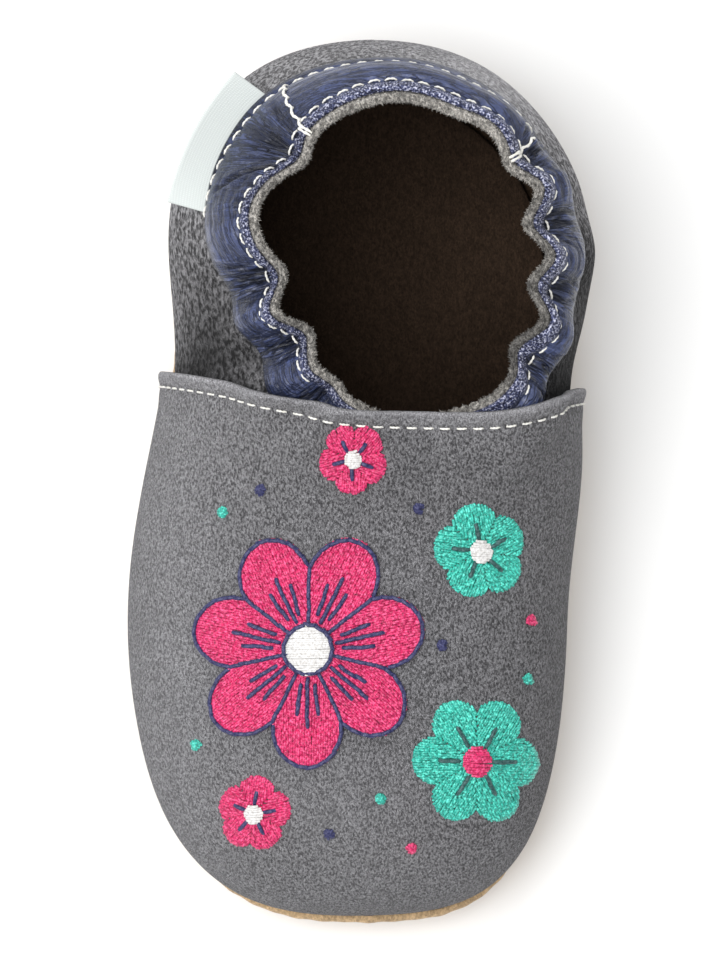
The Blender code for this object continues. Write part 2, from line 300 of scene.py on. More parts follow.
def suede(name, shade, fibre, cloud, contrast, cloudiness, relief, sheen, gaps):
    """Split leather with a short brushed nap: tufts of fibres, each with its own tone, and dark gaps between them.

    fibre and cloud are sizes in millimetres; a note "nap" on the points makes it lighter or darker and deepens its
    gaps where it is low: it holds painted light and shade as well as clouds of the nap."""
    look, tree, shader = blank_look(name, 0.95, 0.10)
    where = add(tree, "ShaderNodeTexCoord").outputs["Object"]
    lie = noted(tree, "nap")
    turned = {"Vector": where, "Rotation": NAP_TURN, "Scale": NAP_STRETCH}
    brushed = add(tree, "ShaderNodeMapping", turned).outputs["Vector"]
    tufts = lumps(tree, brushed, fibre, Detail=2.0, Roughness=0.50, Distortion=0.35)
    deep = carried(tree, lie, 0.0, 0.5, 1.0 - gaps, 1.0 - 0.4 * gaps)
    tufts = carried(tree, tufts, 0.34, 0.66, deep, 1.0 + 0.6 * gaps, interpolation_type="SMOOTHSTEP")
    grains = speckle(tree, brushed, 0.40 * fibre, 1.0, 1.0 - contrast, 1.0 + contrast)
    height = maths(tree, "MULTIPLY", tufts, grains)
    tone = maths(tree, "MULTIPLY", height, speckle(tree, where, cloud, 3.0, 1.0 - cloudiness, 1.0 + cloudiness))
    # The note "nap" scales the tone here: painted light and shade, and clouds of the nap.
    tone = maths(tree, "MULTIPLY", tone, maths(tree, "ADD", lie, 1.0))
    tinted = scaled(tree, shade[:3], maths(tree, "MAXIMUM", tone, 0.06))
    fill(tree, shader, {"Base Color": tinted, "Normal": bumps(tree, relief, 0.8 * fibre, height),
                        "Sheen Weight": sheen, "Sheen Roughness": 0.45})
    return look


def sole_ring(t, inset, height):
    return np.concatenate([rim(t) - (inset * np.ones_like(t))[:, None] * outward(t),
                           (height * np.ones_like(t))[:, None]], axis=-1)


tan_suede = suede("tan_suede", colour(188, 160, 124), fibre=0.5, cloud=9.0, contrast=0.22, cloudiness=0.10,
                  relief=0.5, sheen=0.25, gaps=0.25)
lining_suede = suede("lining_suede", colour(56, 44, 34), fibre=0.6, cloud=12.0, contrast=0.25, cloudiness=0.10,
                     relief=0.4, sheen=0.0, gaps=0.20)

sole_t = columns_round(SOLE_COLUMNS)
border = SOLE_THICKNESS / 2.0
border_foot = seam_height(sole_t) - SEAT_GAP - border
along_rim = travelled(rim(np.append(sole_t, SECTIONS)))[:-1]
pucker = PUCKER_DEPTH * (np.sin(2 * np.pi * along_rim / PUCKER_PITCH) + unrest(along_rim, PUCKER_UNREST, seed=3))
pucker += sum(inset * bell(((sole_t - place) / half) ** 2) for place, half, inset in SOLE_DRAWN)
sole_rows = []
for turn in np.radians(np.linspace(90.0, 0.0, SOLE_OUTER_ROWS)):
    pull = pucker * smooth(1.0 - np.sin(turn))
    sole_rows.append(sole_ring(sole_t, SOLE_CURL * (1 - np.cos(turn)) + pull, border_foot * (1 - np.sin(turn))))
for turn in np.radians(np.linspace(*SOLE_EDGE_TURN, SOLE_EDGE_ROWS)):
    sole_rows.append(sole_ring(sole_t, border * (1 - np.cos(turn)) + pucker, border_foot + border * np.sin(turn)))
for turn in np.radians(np.linspace(0.0, 90.0, SOLE_INNER_ROWS)):
    inset = SOLE_CURL - (SOLE_CURL - SOLE_THICKNESS) * np.cos(turn)
    sole_rows.append(sole_ring(sole_t, inset, border_foot - (border_foot - SOLE_THICKNESS) * np.sin(turn)))
sole_points, sole_faces, ((_, under_lid), (_, inner_lid)) = lidded(sole_rows, SOLE_PARTS_ACROSS)
sole_inside = np.arange(len(sole_faces)) >= (SOLE_OUTER_ROWS + SOLE_EDGE_ROWS // 2) * SOLE_COLUMNS
sole_inside[under_lid:inner_lid] = False
sole = piece("suede_sole", sole_points, sole_faces, (tan_suede, lining_suede), sole_inside)
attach(sole, "root")
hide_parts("sole")

# Insole: a thin pad of dark brown suede that lies loose on the sole and fills the hollow of its turned-up
# border. A foot has pressed it a little at the heel and the ball.
INSOLE_EDGE = ((6.2, 0.0), (4.5, 0.8), (4.1, 1.15), (4.1, 1.4), (4.4, 1.55), (5.0, 1.6))  # inside the rim, up
INSOLE_COLUMNS = 480
INSOLE_PARTS_ACROSS = 40
INSOLE_HOLLOWS = ((1.0, 36.0, 15.0, 0.35), (0.0, -18.0, 20.0, 0.30))  # side, along, half width, depth
HOLLOW_REACH = 1.3

insole_t = columns_round(INSOLE_COLUMNS)
insole_bottom = SOLE_THICKNESS + SEAT_GAP
insole_rows = [sole_ring(insole_t, inset, insole_bottom + up) for inset, up in INSOLE_EDGE]
insole_points, insole_faces, (_, (pad, _)) = lidded(insole_rows, INSOLE_PARTS_ACROSS)
for side, along, half_width, depth in INSOLE_HOLLOWS:
    away = np.hypot(insole_points[pad:, 0] - side, insole_points[pad:, 1] - along)
    insole_points[pad:, 2] -= depth * smooth(HOLLOW_REACH - away / half_width)
brown_suede = suede("brown_suede", colour(54, 42, 33), fibre=0.6, cloud=12.0, contrast=0.25, cloudiness=0.10,
                    relief=0.4, sheen=0.0, gaps=0.20)
insole = piece("suede_insole", insole_points, insole_faces, (brown_suede,))
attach(insole, "root")
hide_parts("insole")

# Upper: the wall of grey suede that stands on the sole's seam and leans in to the ankle, open at the top. Its
# nap is brushed out, its top edge is cut and left raw, and inside it is lined in dark brown. An elastic
# gathers the top, so that the edge runs in and out in scallops that die away down the wall.
WALL_THICKNESS = 1.3
INSTEP_HEIGHT = 41.0
HEEL_HEIGHT = 49.5
GATHER_START = 0.62
UPPER_COLUMNS = 600
UPPER_ROWS = 80
LINING_ROWS = 34
RAW_EDGE_ROWS = 9
RAW_EDGE_UNEVEN = 0.30
RAW_EDGE_BUMP = 0.9
STEPS_DOWN = 81
FUZZ_PER_MM2 = 16.0
FUZZ_LENGTH = 0.42
FUZZ_THICKNESS = 0.12
FUZZ_DISORDER = 0.9
FUZZ_SIZES = (0.4, 1.3)

# tuck: how far the wall stands inside the sole's rim; splay, rise: how it leaves the seam, outwards and up.
# edge_side, edge_along: the opening's edge, as shares like the rim's; edge_height: from 0 at the instep to 1 at
# the back of the heel. slope, reach: the angle in degrees and the distance over which the wall arrives there.
WALL_COLUMNS = ("tuck", "splay", "rise", "edge_side", "edge_along", "edge_height", "slope", "reach")
WALL = {
    "heel_back": (0.5, 7.0, 22, 0.15, 0.904, 1.00, 58, 14),
    "heel_back_lateral": (0.5, 7.0, 21, -0.12, 0.880, 0.88, 50, 14),
    "heel_lateral": (0.5, 6.5, 20, -0.31, 0.828, 0.71, 44, 15),
    "quarter_lateral": (0.5, 5.0, 20, -0.40, 0.750, 0.51, 42, 14),
    "waist_lateral": (1.5, 4.0, 19, -0.31, 0.668, 0.36, 40, 14),
    "vamp_lateral": (2.0, 5.5, 19, -0.18, 0.612, 0.24, 34, 15),
    "ball_lateral": (2.2, 6.0, 20, -0.08, 0.580, 0.10, 24, 17),
    "little_toe": (2.3, 5.0, 20, 0.02, 0.563, 0.02, 20, 22),
    "toe_lateral": (2.4, 3.0, 20, 0.10, 0.555, 0.00, 18, 28),
    "toe_front_lateral": (2.6, 2.0, 20, 0.17, 0.551, 0.00, 17, 33),
    "toe_tip": (2.8, 1.5, 20, 0.23, 0.550, 0.00, 16, 36),
    "toe_front_medial": (2.8, 2.0, 20, 0.30, 0.551, 0.00, 17, 33),
    "toe_medial": (2.4, 3.0, 20, 0.37, 0.554, 0.00, 18, 28),
    "big_toe": (2.3, 4.2, 20, 0.46, 0.560, 0.02, 20, 22),
    "ball_medial": (2.2, 4.2, 20, 0.57, 0.570, 0.10, 24, 17),
    "vamp_medial": (2.0, 4.2, 19, 0.68, 0.597, 0.24, 36, 14),
    "waist_medial": (1.5, 4.2, 19, 0.77, 0.657, 0.36, 52, 14),
    "quarter_medial": (0.5, 6.5, 20, 0.80, 0.742, 0.51, 60, 14),
    "heel_medial": (0.5, 6.0, 20, 0.70, 0.828, 0.71, 58, 14),
    "heel_back_medial": (0.5, 7.0, 21, 0.43, 0.886, 0.88, 56, 14),
}
WALL_SHAPE = {column: np.array([row[i] for row in WALL.values()], float) for i, column in enumerate(WALL_COLUMNS)}

# One row per scallop of the gathered edge: its place in sections, its depth outwards, its half width.
GATHERS = (
    (1.82, -2.2, 0.32),
    (2.70, 3.0, 0.48),
    (3.50, -2.5, 0.26),
    (3.95, 2.7, 0.23),
    (4.48, -2.5, 0.26),
    (5.10, 1.2, 0.26),
    (5.85, -1.5, 0.34),
    (15.50, -2.0, 0.30),
    (16.05, 2.3, 0.26),
    (16.50, -1.2, 0.21),
    (16.85, 2.0, 0.22),
    (17.25, -1.6, 0.21),
    (17.65, 1.8, 0.22),
    (18.05, -1.0, 0.22),
    (18.55, 1.2, 0.36),
)

# One row per soft dent or swell of the wall: place in sections, share of the way up, half sizes of both, and
# its depth outwards. The inner side folds below the collar; the outer side gives behind the vamp's corner.
DENTS = (
    (16.72, 0.56, 0.16, 0.16, -0.9),
    (17.10, 0.58, 0.20, 0.20, 0.8),
    (17.50, 0.52, 0.16, 0.16, -0.5),
    (3.30, 0.46, 0.35, 0.20, -0.5),
    (2.30, 0.40, 0.60, 0.22, 0.4),
    (19.30, 0.45, 0.60, 0.22, -0.3),
)

# One row per cloud of painted shade and light on the wall: place in sections, share of the way up, half sizes, and
# the tone. Painted shade darkens the wall where it runs in under the collar and behind the vamp; painted light
# lightens the back of the heel.
WALL_PAINTED_SHADE_AND_LIGHT = (
    (3.6, 0.60, 0.70, 0.26, -0.48),
    (4.4, 0.50, 0.60, 0.45, -0.70),
    (1.9, 0.25, 0.90, 0.22, 0.12),
    (0.0, 0.50, 1.40, 0.40, 0.22),
    (15.5, 0.50, 1.25, 0.75, -0.97),
    (17.0, 0.55, 0.50, 0.35, -0.50),
    (17.3, 0.50, 0.25, 0.25, 0.20),
    (18.8, 0.58, 0.75, 0.40, 0.40),
)


def from_back(t):
    """How many sections t lies from the back of the heel, below 0 on the inner side."""
    return (t + SECTIONS / 2.0) % SECTIONS - SECTIONS / 2.0


def wall_value(column, t):
    return around(WALL_SHAPE[column], t)


def wall(t, s):
    """A point on the upper's outer face before it is gathered; s runs from the seam (0) to the edge (1)."""
    t, s = np.broadcast_arrays(np.asarray(t, float), np.asarray(s, float))
    out = outward(t)
    foot = rim(t) - wall_value("tuck", t)[..., None] * out
    edge = plan(wall_value("edge_side", t), wall_value("edge_along", t)) + TOE_PLACE
    slope, reach = np.radians(wall_value("slope", t)), wall_value("reach", t)
    foot_z = seam_height(t)
    edge_z = INSTEP_HEIGHT + wall_value("edge_height", t) * (HEEL_HEIGHT - INSTEP_HEIGHT)
    start = foot + wall_value("splay", t)[..., None] * out
    arrival = edge + (reach * np.cos(slope))[..., None] * unit(foot - edge)
    heights = (foot_z, foot_z + wall_value("rise", t), edge_z - reach * np.sin(slope), edge_z)
    weights = ((1 - s) ** 3, 3 * s * (1 - s) ** 2, 3 * s**2 * (1 - s), s**3)
    level = sum(weight[..., None] * point for weight, point in zip(weights, (foot, start, arrival, edge)))
    height = sum(weight * z for weight, z in zip(weights, heights))
    return np.concatenate([level, height[..., None]], axis=-1)


def give(t, s):
    """How far the gathers and the dents move the wall outwards."""
    place = t % SECTIONS
    gathered = sum(out * bell((place - at) / half) for at, out, half in GATHERS)
    dented = sum(out * bell((place - at) / half_t) * bell((s - up) / half_s) for at, up, half_t, half_s, out in DENTS)
    return gathered * smooth((s - GATHER_START) / (1.0 - GATHER_START)) + dented


def layer(t, s, height):
    """A point this high above the gathered wall, moved level where the wall leans out, else square to it."""
    t, s, height = np.broadcast_arrays(np.asarray(t, float), np.asarray(s, float), np.asarray(height, float))
    step = 1e-3
    normal = np.cross(wall(t + step, s) - wall(t - step, s), wall(t, s + step) - wall(t, s - step))
    normal[..., 2] = np.maximum(normal[..., 2], 0.0)
    return wall(t, s) + (height + give(t, s))[..., None] * unit(normal)


def below(t, start, distance):
    """For each t, the s that lies this far below start, measured down the wall."""
    t, start, distance = np.broadcast_arrays(*(np.asarray(x, float) for x in (t, start, distance)))
    s = start[..., None] * np.linspace(1.0, 0.0, STEPS_DOWN)
    paths = travelled(wall(t[..., None], s)).reshape(-1, STEPS_DOWN)
    found = [np.interp(*row) for row in zip(distance.ravel(), paths, s.reshape(-1, STEPS_DOWN))]
    return np.array(found).reshape(t.shape)


def wall_row(share, height):
    """A row of points round the upper, at a share of the way up and this high above its outer face."""
    row = layer(upper_t, share * top_s, height)
    if share == 0.0:
        row[:, 2] = seam_height(upper_t)
    return row


grey_suede = suede("grey_suede", colour(144, 143, 146), fibre=0.54, cloud=7.0, contrast=0.24, cloudiness=0.10,
                   relief=1.0, sheen=0.05, gaps=0.86)
raw_suede = suede("raw_suede", colour(208, 203, 196), fibre=0.46, cloud=3.0, contrast=0.45, cloudiness=0.16,
                  relief=1.0, sheen=0.25, gaps=0.74)

upper_t = columns_round(UPPER_COLUMNS)
half_wall = WALL_THICKNESS / 2.0
cap_s = half_wall / (3.0 * wall_value("reach", upper_t))
top_s = 1.0 - cap_s
shares_up, shares_down = np.linspace(0.0, 1.0, UPPER_ROWS), np.linspace(1.0, 0.0, LINING_ROWS)
upper_rows = [wall_row(share, 0.0) for share in shares_up]
along_edge = travelled(upper_rows[-1])
for k, turn in enumerate(np.radians(np.linspace(0.0, 180.0, RAW_EDGE_ROWS + 2)[1:-1])):
    uneven = RAW_EDGE_UNEVEN * np.sin(turn) * unrest(along_edge, RAW_EDGE_BUMP, seed=20 + k)
    height = half_wall * (np.cos(turn) - 1.0) + uneven
    upper_rows.append(layer(upper_t, top_s + cap_s * np.sin(turn) * (1.0 + 2.0 * uneven), height))
upper_rows += [wall_row(share, -WALL_THICKNESS) for share in shares_down]
upper_faces = grid_faces(len(upper_rows), UPPER_COLUMNS, loop_rows=True, loop_columns=True)
row_number = np.arange(len(upper_rows))
raw_from, raw_to = UPPER_ROWS - 2, UPPER_ROWS + RAW_EDGE_ROWS + 1
row_looks = np.where(row_number < raw_from, 0, np.where(row_number < raw_to, 1, 2))
row_looks[-1] = 0
upper_looks = np.repeat(row_looks, UPPER_COLUMNS)
wall_rim = np.repeat((row_number >= raw_from) & (row_number <= raw_to + 1), UPPER_COLUMNS)
wall_share = np.concatenate([shares_up, np.ones(RAW_EDGE_ROWS), shares_down])[:, None]
# The wall's note "nap" carries this painted shade and light.
wall_painted_shade_and_light = sum(tone * bell(from_back(upper_t - place) / half_t) * bell((wall_share - up) / half_s)
               for place, up, half_t, half_s, tone in WALL_PAINTED_SHADE_AND_LIGHT)
upper = piece("suede_upper", np.concatenate(upper_rows), upper_faces.tolist(),
              (grey_suede, raw_suede, lining_suede), upper_looks,
              notes={"nap": wall_painted_shade_and_light.ravel(), "rim": wall_rim.astype(float)})
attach(upper, "root")
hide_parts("upper")


def node_tree(name, source, result, **sizes):
    """A tree of geometry nodes with named inputs, and what its input node gives."""
    tree = bpy.data.node_groups.new(name, "GeometryNodeTree")
    for socket, kind in ((source, "Geometry"), *sizes.items(), ("Look", "Material")):
        tree.interface.new_socket(socket, in_out="INPUT", socket_type=f"NodeSocket{kind}")
    tree.interface.new_socket(result, in_out="OUTPUT", socket_type="NodeSocketGeometry")
    return tree, add(tree, "NodeGroupInput").outputs


def end_tree(tree, result, shape, look):
    """Ends a tree: what it has made becomes real, takes its look and goes out."""
    real = add(tree, "GeometryNodeRealizeInstances", {"Geometry": shape}).outputs["Geometry"]
    worn = add(tree, "GeometryNodeSetMaterial", {"Geometry": real, "Material": look}).outputs["Geometry"]
    add(tree, "NodeGroupOutput", {result: worn})
    return tree


def kept_note(tree, note, kind):
    return add(tree, "GeometryNodeInputNamedAttribute", {"Name": note}, data_type=kind).outputs["Attribute"]


def fuzz_tree(name):
    """Scatters fine fibres over a mesh, as close as the note "rim" says."""
    tree, given = node_tree(name, "Edge", "Fibres", Density="Float", Length="Float", Thickness="Float",
                            Disorder="Float", Seed="Int")
    seed = {"Seed": given["Seed"]}
    close = maths(tree, "MULTIPLY", kept_note(tree, "rim", "FLOAT"), given["Density"])
    scattered = {"Mesh": given["Edge"], "Density": close, **seed}
    spots = add(tree, "GeometryNodeDistributePointsOnFaces", scattered).outputs
    stray = add(tree, "FunctionNodeRandomValue", {0: (-1.0, -1.0, -1.0), 1: (1.0, 1.0, 1.0), **seed},
                data_type="FLOAT_VECTOR").outputs[0]
    astray = scaled(tree, stray, given["Disorder"])
    aim = add(tree, "ShaderNodeVectorMath", {0: spots["Normal"], 1: astray}, operation="ADD").outputs["Vector"]
    turned = add(tree, "FunctionNodeAlignRotationToVector", {"Vector": aim}, axis="Z").outputs["Rotation"]
    half = maths(tree, "MULTIPLY", given["Thickness"], 0.5)
    fibre = add(tree, "GeometryNodeMeshCone", {"Vertices": 3, "Radius Top": 0.0, "Radius Bottom": half,
                                               "Depth": given["Length"]}).outputs["Mesh"]
    sizes = {2: FUZZ_SIZES[0], 3: FUZZ_SIZES[1], **seed}
    size = add(tree, "FunctionNodeRandomValue", sizes, data_type="FLOAT").outputs[1]
    grown = add(tree, "GeometryNodeInstanceOnPoints", {"Points": spots["Points"], "Instance": fibre,
                                                       "Rotation": turned, "Scale": size}).outputs["Instances"]
    return end_tree(tree, "Fibres", grown, given["Look"])


def grow(made, tree, given):
    """Runs a tree of nodes on an object and keeps what it makes as the object's plain mesh."""
    growing = made.modifiers.new(tree.name, "NODES")
    growing.node_group = tree
    for socket in tree.interface.items_tree:
        if socket.in_out == "INPUT" and socket.name in given:
            growing[socket.identifier] = given[socket.name]
    grown_mesh = bpy.data.meshes.new_from_object(made.evaluated_get(bpy.context.evaluated_depsgraph_get()))
    made.modifiers.remove(growing)
    made.data = grown_mesh
    return made


fuzz = placed("rim_fuzz", upper.data)
grow(fuzz, fuzz_tree("fuzz"), {"Density": FUZZ_PER_MM2 / MM**2, "Length": FUZZ_LENGTH * MM, "Disorder": FUZZ_DISORDER,
                               "Thickness": FUZZ_THICKNESS * MM, "Seed": 5, "Look": raw_suede})
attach(fuzz, "root")

# Collar casing: a strip of blue nappa sewn over the upper along both its edges, as a tunnel for the elastic.
# It puffs up between the two seams, falls into folds wherever the elastic gathers it, lies smooth across the
# back, and ends in a raw cut edge beside the upper's own. Its two ends run under the vamp.
CASING_ENDS = (-7.5, 7.5)
CASING_TAPER = 1.6
CASING_EDGE = 0.8
CASING_PUFF = 1.0
CASING_RIM = 0.8
CASING_WIDTHS = np.array((11.0, 13.2, 13.5, 10.4, 7.6, 8.2, 8.0, 7.0, 6.0, 6.0, 6.0, 6.0, 6.0, 6.5, 7.0, 7.0,
                          7.8, 10.6, 9.0, 10.2))
CASING_COLUMNS = 900
CASING_ROWS = 60
SEAM_PITCH = 2.5
SEAM_DIP = 0.34
SEAM_GROOVE = 0.55
PINCH_LINE = 0.84
RAW_BORDER_UNEVEN = 0.16
OUTER_SEAM_SHOWN = (-1.80, 2.85)
# Fine wrinkles, each with its size along the casing and across it, and the breadth of its lines.
WRINKLES_ACROSS = ((1.0, 8.0, 0.075), (0.55, 5.0, 0.05))
WRINKLES_ALONG = ((9.0, 1.2, 0.05), (5.0, 0.7, 0.04))

# One row per place where the elastic pinches the casing: section, number of folds, how far they spread in
# sections, how much they fan out towards the outer edge, and their depth.
PINCHES = (
    (1.76, 15, 0.36, 1.6, 0.44),
    (2.45, 5, 0.30, 0.5, 0.22),
    (3.50, 7, 0.20, 0.8, 0.55),
    (4.48, 7, 0.22, 0.7, 0.55),
    (5.60, 5, 0.26, 0.3, 0.40),
    (-1.95, 6, 0.22, 0.6, 0.45),
    (-2.75, 7, 0.18, 0.8, 0.60),
    (-3.50, 7, 0.18, 0.8, 0.60),
    (-4.50, 7, 0.22, 0.7, 0.55),
)
# One row per bulge between the pinches, where the creases follow the edge: section, half length in sections,
# number of creases and their depth.
BULGES = (
    (-0.60, 0.90, 5, 0.09),
    (0.50, 0.70, 4, 0.08),
    (2.75, 0.55, 7, 0.14),
    (3.97, 0.22, 4, 0.16),
    (5.00, 0.28, 4, 0.15),
    (-2.35, 0.22, 5, 0.17),
    (-3.12, 0.20, 5, 0.18),
    (-3.97, 0.26, 5, 0.18),
    (-5.10, 0.35, 4, 0.15),
)


def casing_puff(t):
    """How far the casing puffs up between its seams, and how far its end is; the ends are pressed flat."""
    from_end = CASING_ENDS[1] - np.abs(from_back(t))
    return CASING_PUFF * smooth(from_end / CASING_TAPER), from_end


def casing_foot(t):
    return below(t, 1.0, CASING_RIM + around(CASING_WIDTHS, t))


def outer_seam(t):
    """How far the outer seam runs from the casing's outer edge; at the sides the casing rolls over it."""
    return 0.2 + (1.8 + 0.8 * smooth(-t)) * bell((t / 2.2) ** 2)


def inner_seam(t):
    """How far the inner seam runs from the casing's inner edge."""
    return 1.5 + 1.1 * bell(t / 1.3) + 1.2 * smooth((-1.2 - t) / 0.9)


def blunt(distance, reach):
    """How a cut edge rises from nothing to its full thickness over this reach."""
    return (1.0 - (1.0 - np.clip(distance / reach, 0.0, 1.0)) ** 3) ** (1.0 / 3.0)


def needle_pull(along, across, half_width, pitch):
    """The groove of a seam, deepest at the needle holes; along and across are in mm, along and from the seam."""
    from_hole = np.abs((along / pitch + 0.5) % 1.0 - 0.5) * pitch
    return bell(across / half_width) * (0.45 + 0.55 * bell(from_hole / 0.55))


def ridged(x, ridge, side):
    """A trough across x with a lower ridge on one side of it."""
    return bell(x) - ridge * bell(x - side)


def fold_depth(t, share):
    """The casing's folds: troughs with a ridge beside them, out from each pinch and along each bulge."""
    draw = np.random.default_rng(11)
    sides = (-1.7, 1.7)
    depth = np.zeros(np.broadcast_shapes(np.shape(t), np.shape(share)))
    from_inner = np.clip(PINCH_LINE - share, 0.0, 1.0)
    ends = smooth((1.02 - share) / 0.14)
    for place, count, spread, fan, deep in PINCHES:
        depth = depth - 0.9 * deep * bell((t - place) / (0.45 * spread)) * bell(from_inner / 0.30) * ends
        for k in range(count):
            offset = ((k + 0.5) / count * 2.0 - 1.0 + draw.normal(0.0, 0.7 / count)) * spread
            half = draw.uniform(0.026, 0.060)
            first, reach = draw.choice((0.0, 0.0, 0.12, 0.25)), draw.uniform(0.30, 0.86)
            bend, sway = draw.uniform(-0.16, 0.16), draw.uniform(0.0, 2.0 * np.pi)
            middle = place + offset * (1.0 + fan * from_inner / PINCH_LINE) + bend * from_inner**2
            middle = middle + 0.018 * np.sin(9.0 * from_inner + sway)
            trough = ridged((t - middle) / half, 0.5, draw.choice(sides))
            length = smooth((reach - from_inner) / 0.22) * smooth((from_inner - first + 0.10) / 0.10)
            depth = depth - deep * draw.uniform(0.45, 1.0) * trough * length * ends
    for place, half_run, count, deep in BULGES:
        for k in range(count):
            bow, shift = draw.uniform(-0.10, 0.10), draw.uniform(-0.4, 0.4) * half_run
            along = (t - place - shift) / half_run
            middle = 0.26 + 0.56 * (k + draw.uniform(0.1, 0.9)) / count
            middle = middle + bow * along**2 + 0.015 * np.sin(5.0 * along + k)
            crease = ridged((share - middle) * 11.0 / draw.uniform(0.26, 0.42), 0.45, draw.choice(sides))
            crease = deep * draw.uniform(0.5, 1.1) * crease
            depth = depth - crease * smooth(1.5 - np.abs(along) * draw.uniform(1.0, 1.6))
    return depth


def casing_surface(t, share):
    """The casing's outer face at a share of its width: its height above the wall, its s, its folds and raw border."""
    width = around(CASING_WIDTHS, t)
    low, high = casing_foot(t), below(t, 1.0, CASING_RIM)
    across = share * width
    from_outer, from_inner = across - outer_seam(t), width - inner_seam(t) - across
    puff, from_end = casing_puff(t)
    tunnel = np.clip(from_outer / (from_outer + from_inner), 0.0, 1.0)
    slack = smooth(from_end / CASING_TAPER)
    folds = fold_depth(t, share) * slack
    border = smooth(-from_inner / inner_seam(t))
    along = seam_run(t)
    seen = smooth((t - OUTER_SEAM_SHOWN[0]) / 0.4) * smooth((OUTER_SEAM_SHOWN[1] - t) / 0.4)
    dip = SEAM_DIP * (seen * needle_pull(along, from_outer, SEAM_GROOVE, SEAM_PITCH)
                      + needle_pull(along, from_inner, SEAM_GROOVE, SEAM_PITCH))
    ruffle = border * (0.22 * unrest(along, 2.2, seed=31) + RAW_BORDER_UNEVEN * unrest(along, 0.7, seed=32))
    body = CASING_EDGE + puff * np.sin(np.pi * tunnel) ** 0.8 + folds + slack * (ruffle - dip)
    ends = blunt(across, 0.45) * blunt(width - across, 0.35)
    return SEAT_GAP + np.maximum(body, 0.25) * ends, low + (high - low) * share, folds, border


def drawn_in(t):
    """How much the elastic draws the casing in, from 0 where it lies smooth to 1 where it is pinched."""
    total = sum(deep * bell((t - place) / (1.3 * spread)) for place, _, spread, _, deep in PINCHES)
    return np.clip(total / 0.45, 0.0, 1.0)


def fanned(t, share):
    """The t of the inner seam from which the fold through a point of the casing runs."""
    from_inner = np.clip(PINCH_LINE - share, 0.0, 1.0) / PINCH_LINE
    moved = sum(bell((t - place) / 0.6) * (t - place) * (1.0 / (1.0 + fan * from_inner) - 1.0)
                for place, _, _, fan, deep in PINCHES if deep > 0.3)
    return t + moved


casing_t = np.linspace(*CASING_ENDS, CASING_COLUMNS)
seam_path = travelled(layer(casing_t, casing_foot(casing_t), 1.0))


def seam_run(t):
    """How far along the casing's outer seam t lies."""
    return np.interp(t, casing_t, seam_path)


def wrinkle_lines(tree, lie, run_size, across_size, line):
    """0 on fine wandering lines and 1 between them; the sizes in mm say how they are drawn out."""
    drawn_out = {"Vector": lie, "Scale": (1.0 / run_size, 1.0 / across_size, 1.0)}
    drawn_out = add(tree, "ShaderNodeMapping", drawn_out).outputs["Vector"]
    wander = maths(tree, "SUBTRACT", lumps(tree, drawn_out, 1.0, Detail=2.0, Distortion=0.45), 0.5)
    return carried(tree, maths(tree, "ABSOLUTE", wander), 0.0, line, 0.0, 1.0, interpolation_type="SMOOTHSTEP")


def nappa(name, shade):
    """Smooth dyed leather: fine grain, half glossy, flecked where its cut edge is raw; painted shade darkens its
    folds, its creases and its outer edge where it rolls under.
    """
    look, tree, shader = blank_look(name, 0.35, 0.42)
    where = add(tree, "ShaderNodeTexCoord").outputs["Object"]
    lie, fold, drawn = noted(tree, "lie", "Vector"), noted(tree, "fold"), noted(tree, "drawn")
    raw = carried(tree, noted(tree, "raw"), 0.02, 0.40, 0.0, 1.0)
    across, along = (maths(tree, "MULTIPLY", *(wrinkle_lines(tree, lie, *sizes) for sizes in lines))
                     for lines in (WRINKLES_ACROSS, WRINKLES_ALONG))
    creases = add(tree, "ShaderNodeMix", {0: drawn, 2: along, 3: across}, data_type="FLOAT").outputs[0]
    # The creases give relief and painted shade too: the tone darkens along them, most where the elastic draws the
    # casing in.
    crease_relief_and_shade = carried(tree, creases, 0.0, 1.0, carried(tree, drawn, 0.0, 1.0, 0.46, 0.25), 1.0)
    from_edge = add(tree, "ShaderNodeSeparateXYZ", {"Vector": lie}).outputs["Y"]
    # Painted shade in the folds with a little painted light on the ridges beside them, and painted shade along the
    # outer edge where it rolls under.
    tone = carried(tree, fold, -0.40, 0.12, 0.40, 1.05)
    painted_edge_shade = carried(tree, from_edge, 0.4 * MM, 1.8 * MM, 0.45, 1.0)
    blotches, pores = speckle(tree, where, 2.6, 3.0, 0.80, 1.20), speckle(tree, where, 0.35, 3.0, 0.76, 1.24)
    for shading in (crease_relief_and_shade, blotches, painted_edge_shade, pores):
        tone = maths(tree, "MULTIPLY", tone, shading)
    flecks = lumps(tree, where, 0.30, Detail=1.0)
    flecked = add(tree, "ShaderNodeValToRGB", {"Fac": flecks})
    stops = flecked.color_ramp.elements
    stops[0].position, stops[0].color = 0.38, colour(26, 30, 58)
    stops[1].position, stops[1].color = 0.66, colour(206, 208, 228)
    stops.new(0.53).color = colour(84, 91, 130)
    mixed = {0: raw, 6: scaled(tree, shade[:3], tone), 7: flecked.outputs["Color"]}
    cells = add(tree, "ShaderNodeTexVoronoi", {"Vector": where, "Scale": 1.0 / (0.55 * MM)},
                feature="DISTANCE_TO_EDGE").outputs["Distance"]
    grain = bumps(tree, 0.55, 0.12, cells)
    fuzzed = bumps(tree, maths(tree, "MULTIPLY", raw, 0.4), 0.2, flecks, Normal=grain)
    fill(tree, shader, {"Base Color": add(tree, "ShaderNodeMix", mixed, data_type="RGBA").outputs[2],
                        "Roughness": carried(tree, raw, 0.0, 1.0, 0.35, 0.85),
                        "Normal": bumps(tree, 1.0, 0.6, crease_relief_and_shade, Normal=fuzzed),
                        "Coat Weight": 0.25, "Coat Roughness": 0.20})
    return look


def tube_faces(columns, loop):
    """Faces of a tube made of loops of points, closed flat at both its ends."""
    ends = [list(range(first, first + loop)) for first in (0, (columns - 1) * loop)]
    return grid_faces(columns, loop, loop_columns=True).tolist() + ends


blue_nappa = nappa("blue_nappa", colour(66, 76, 113))

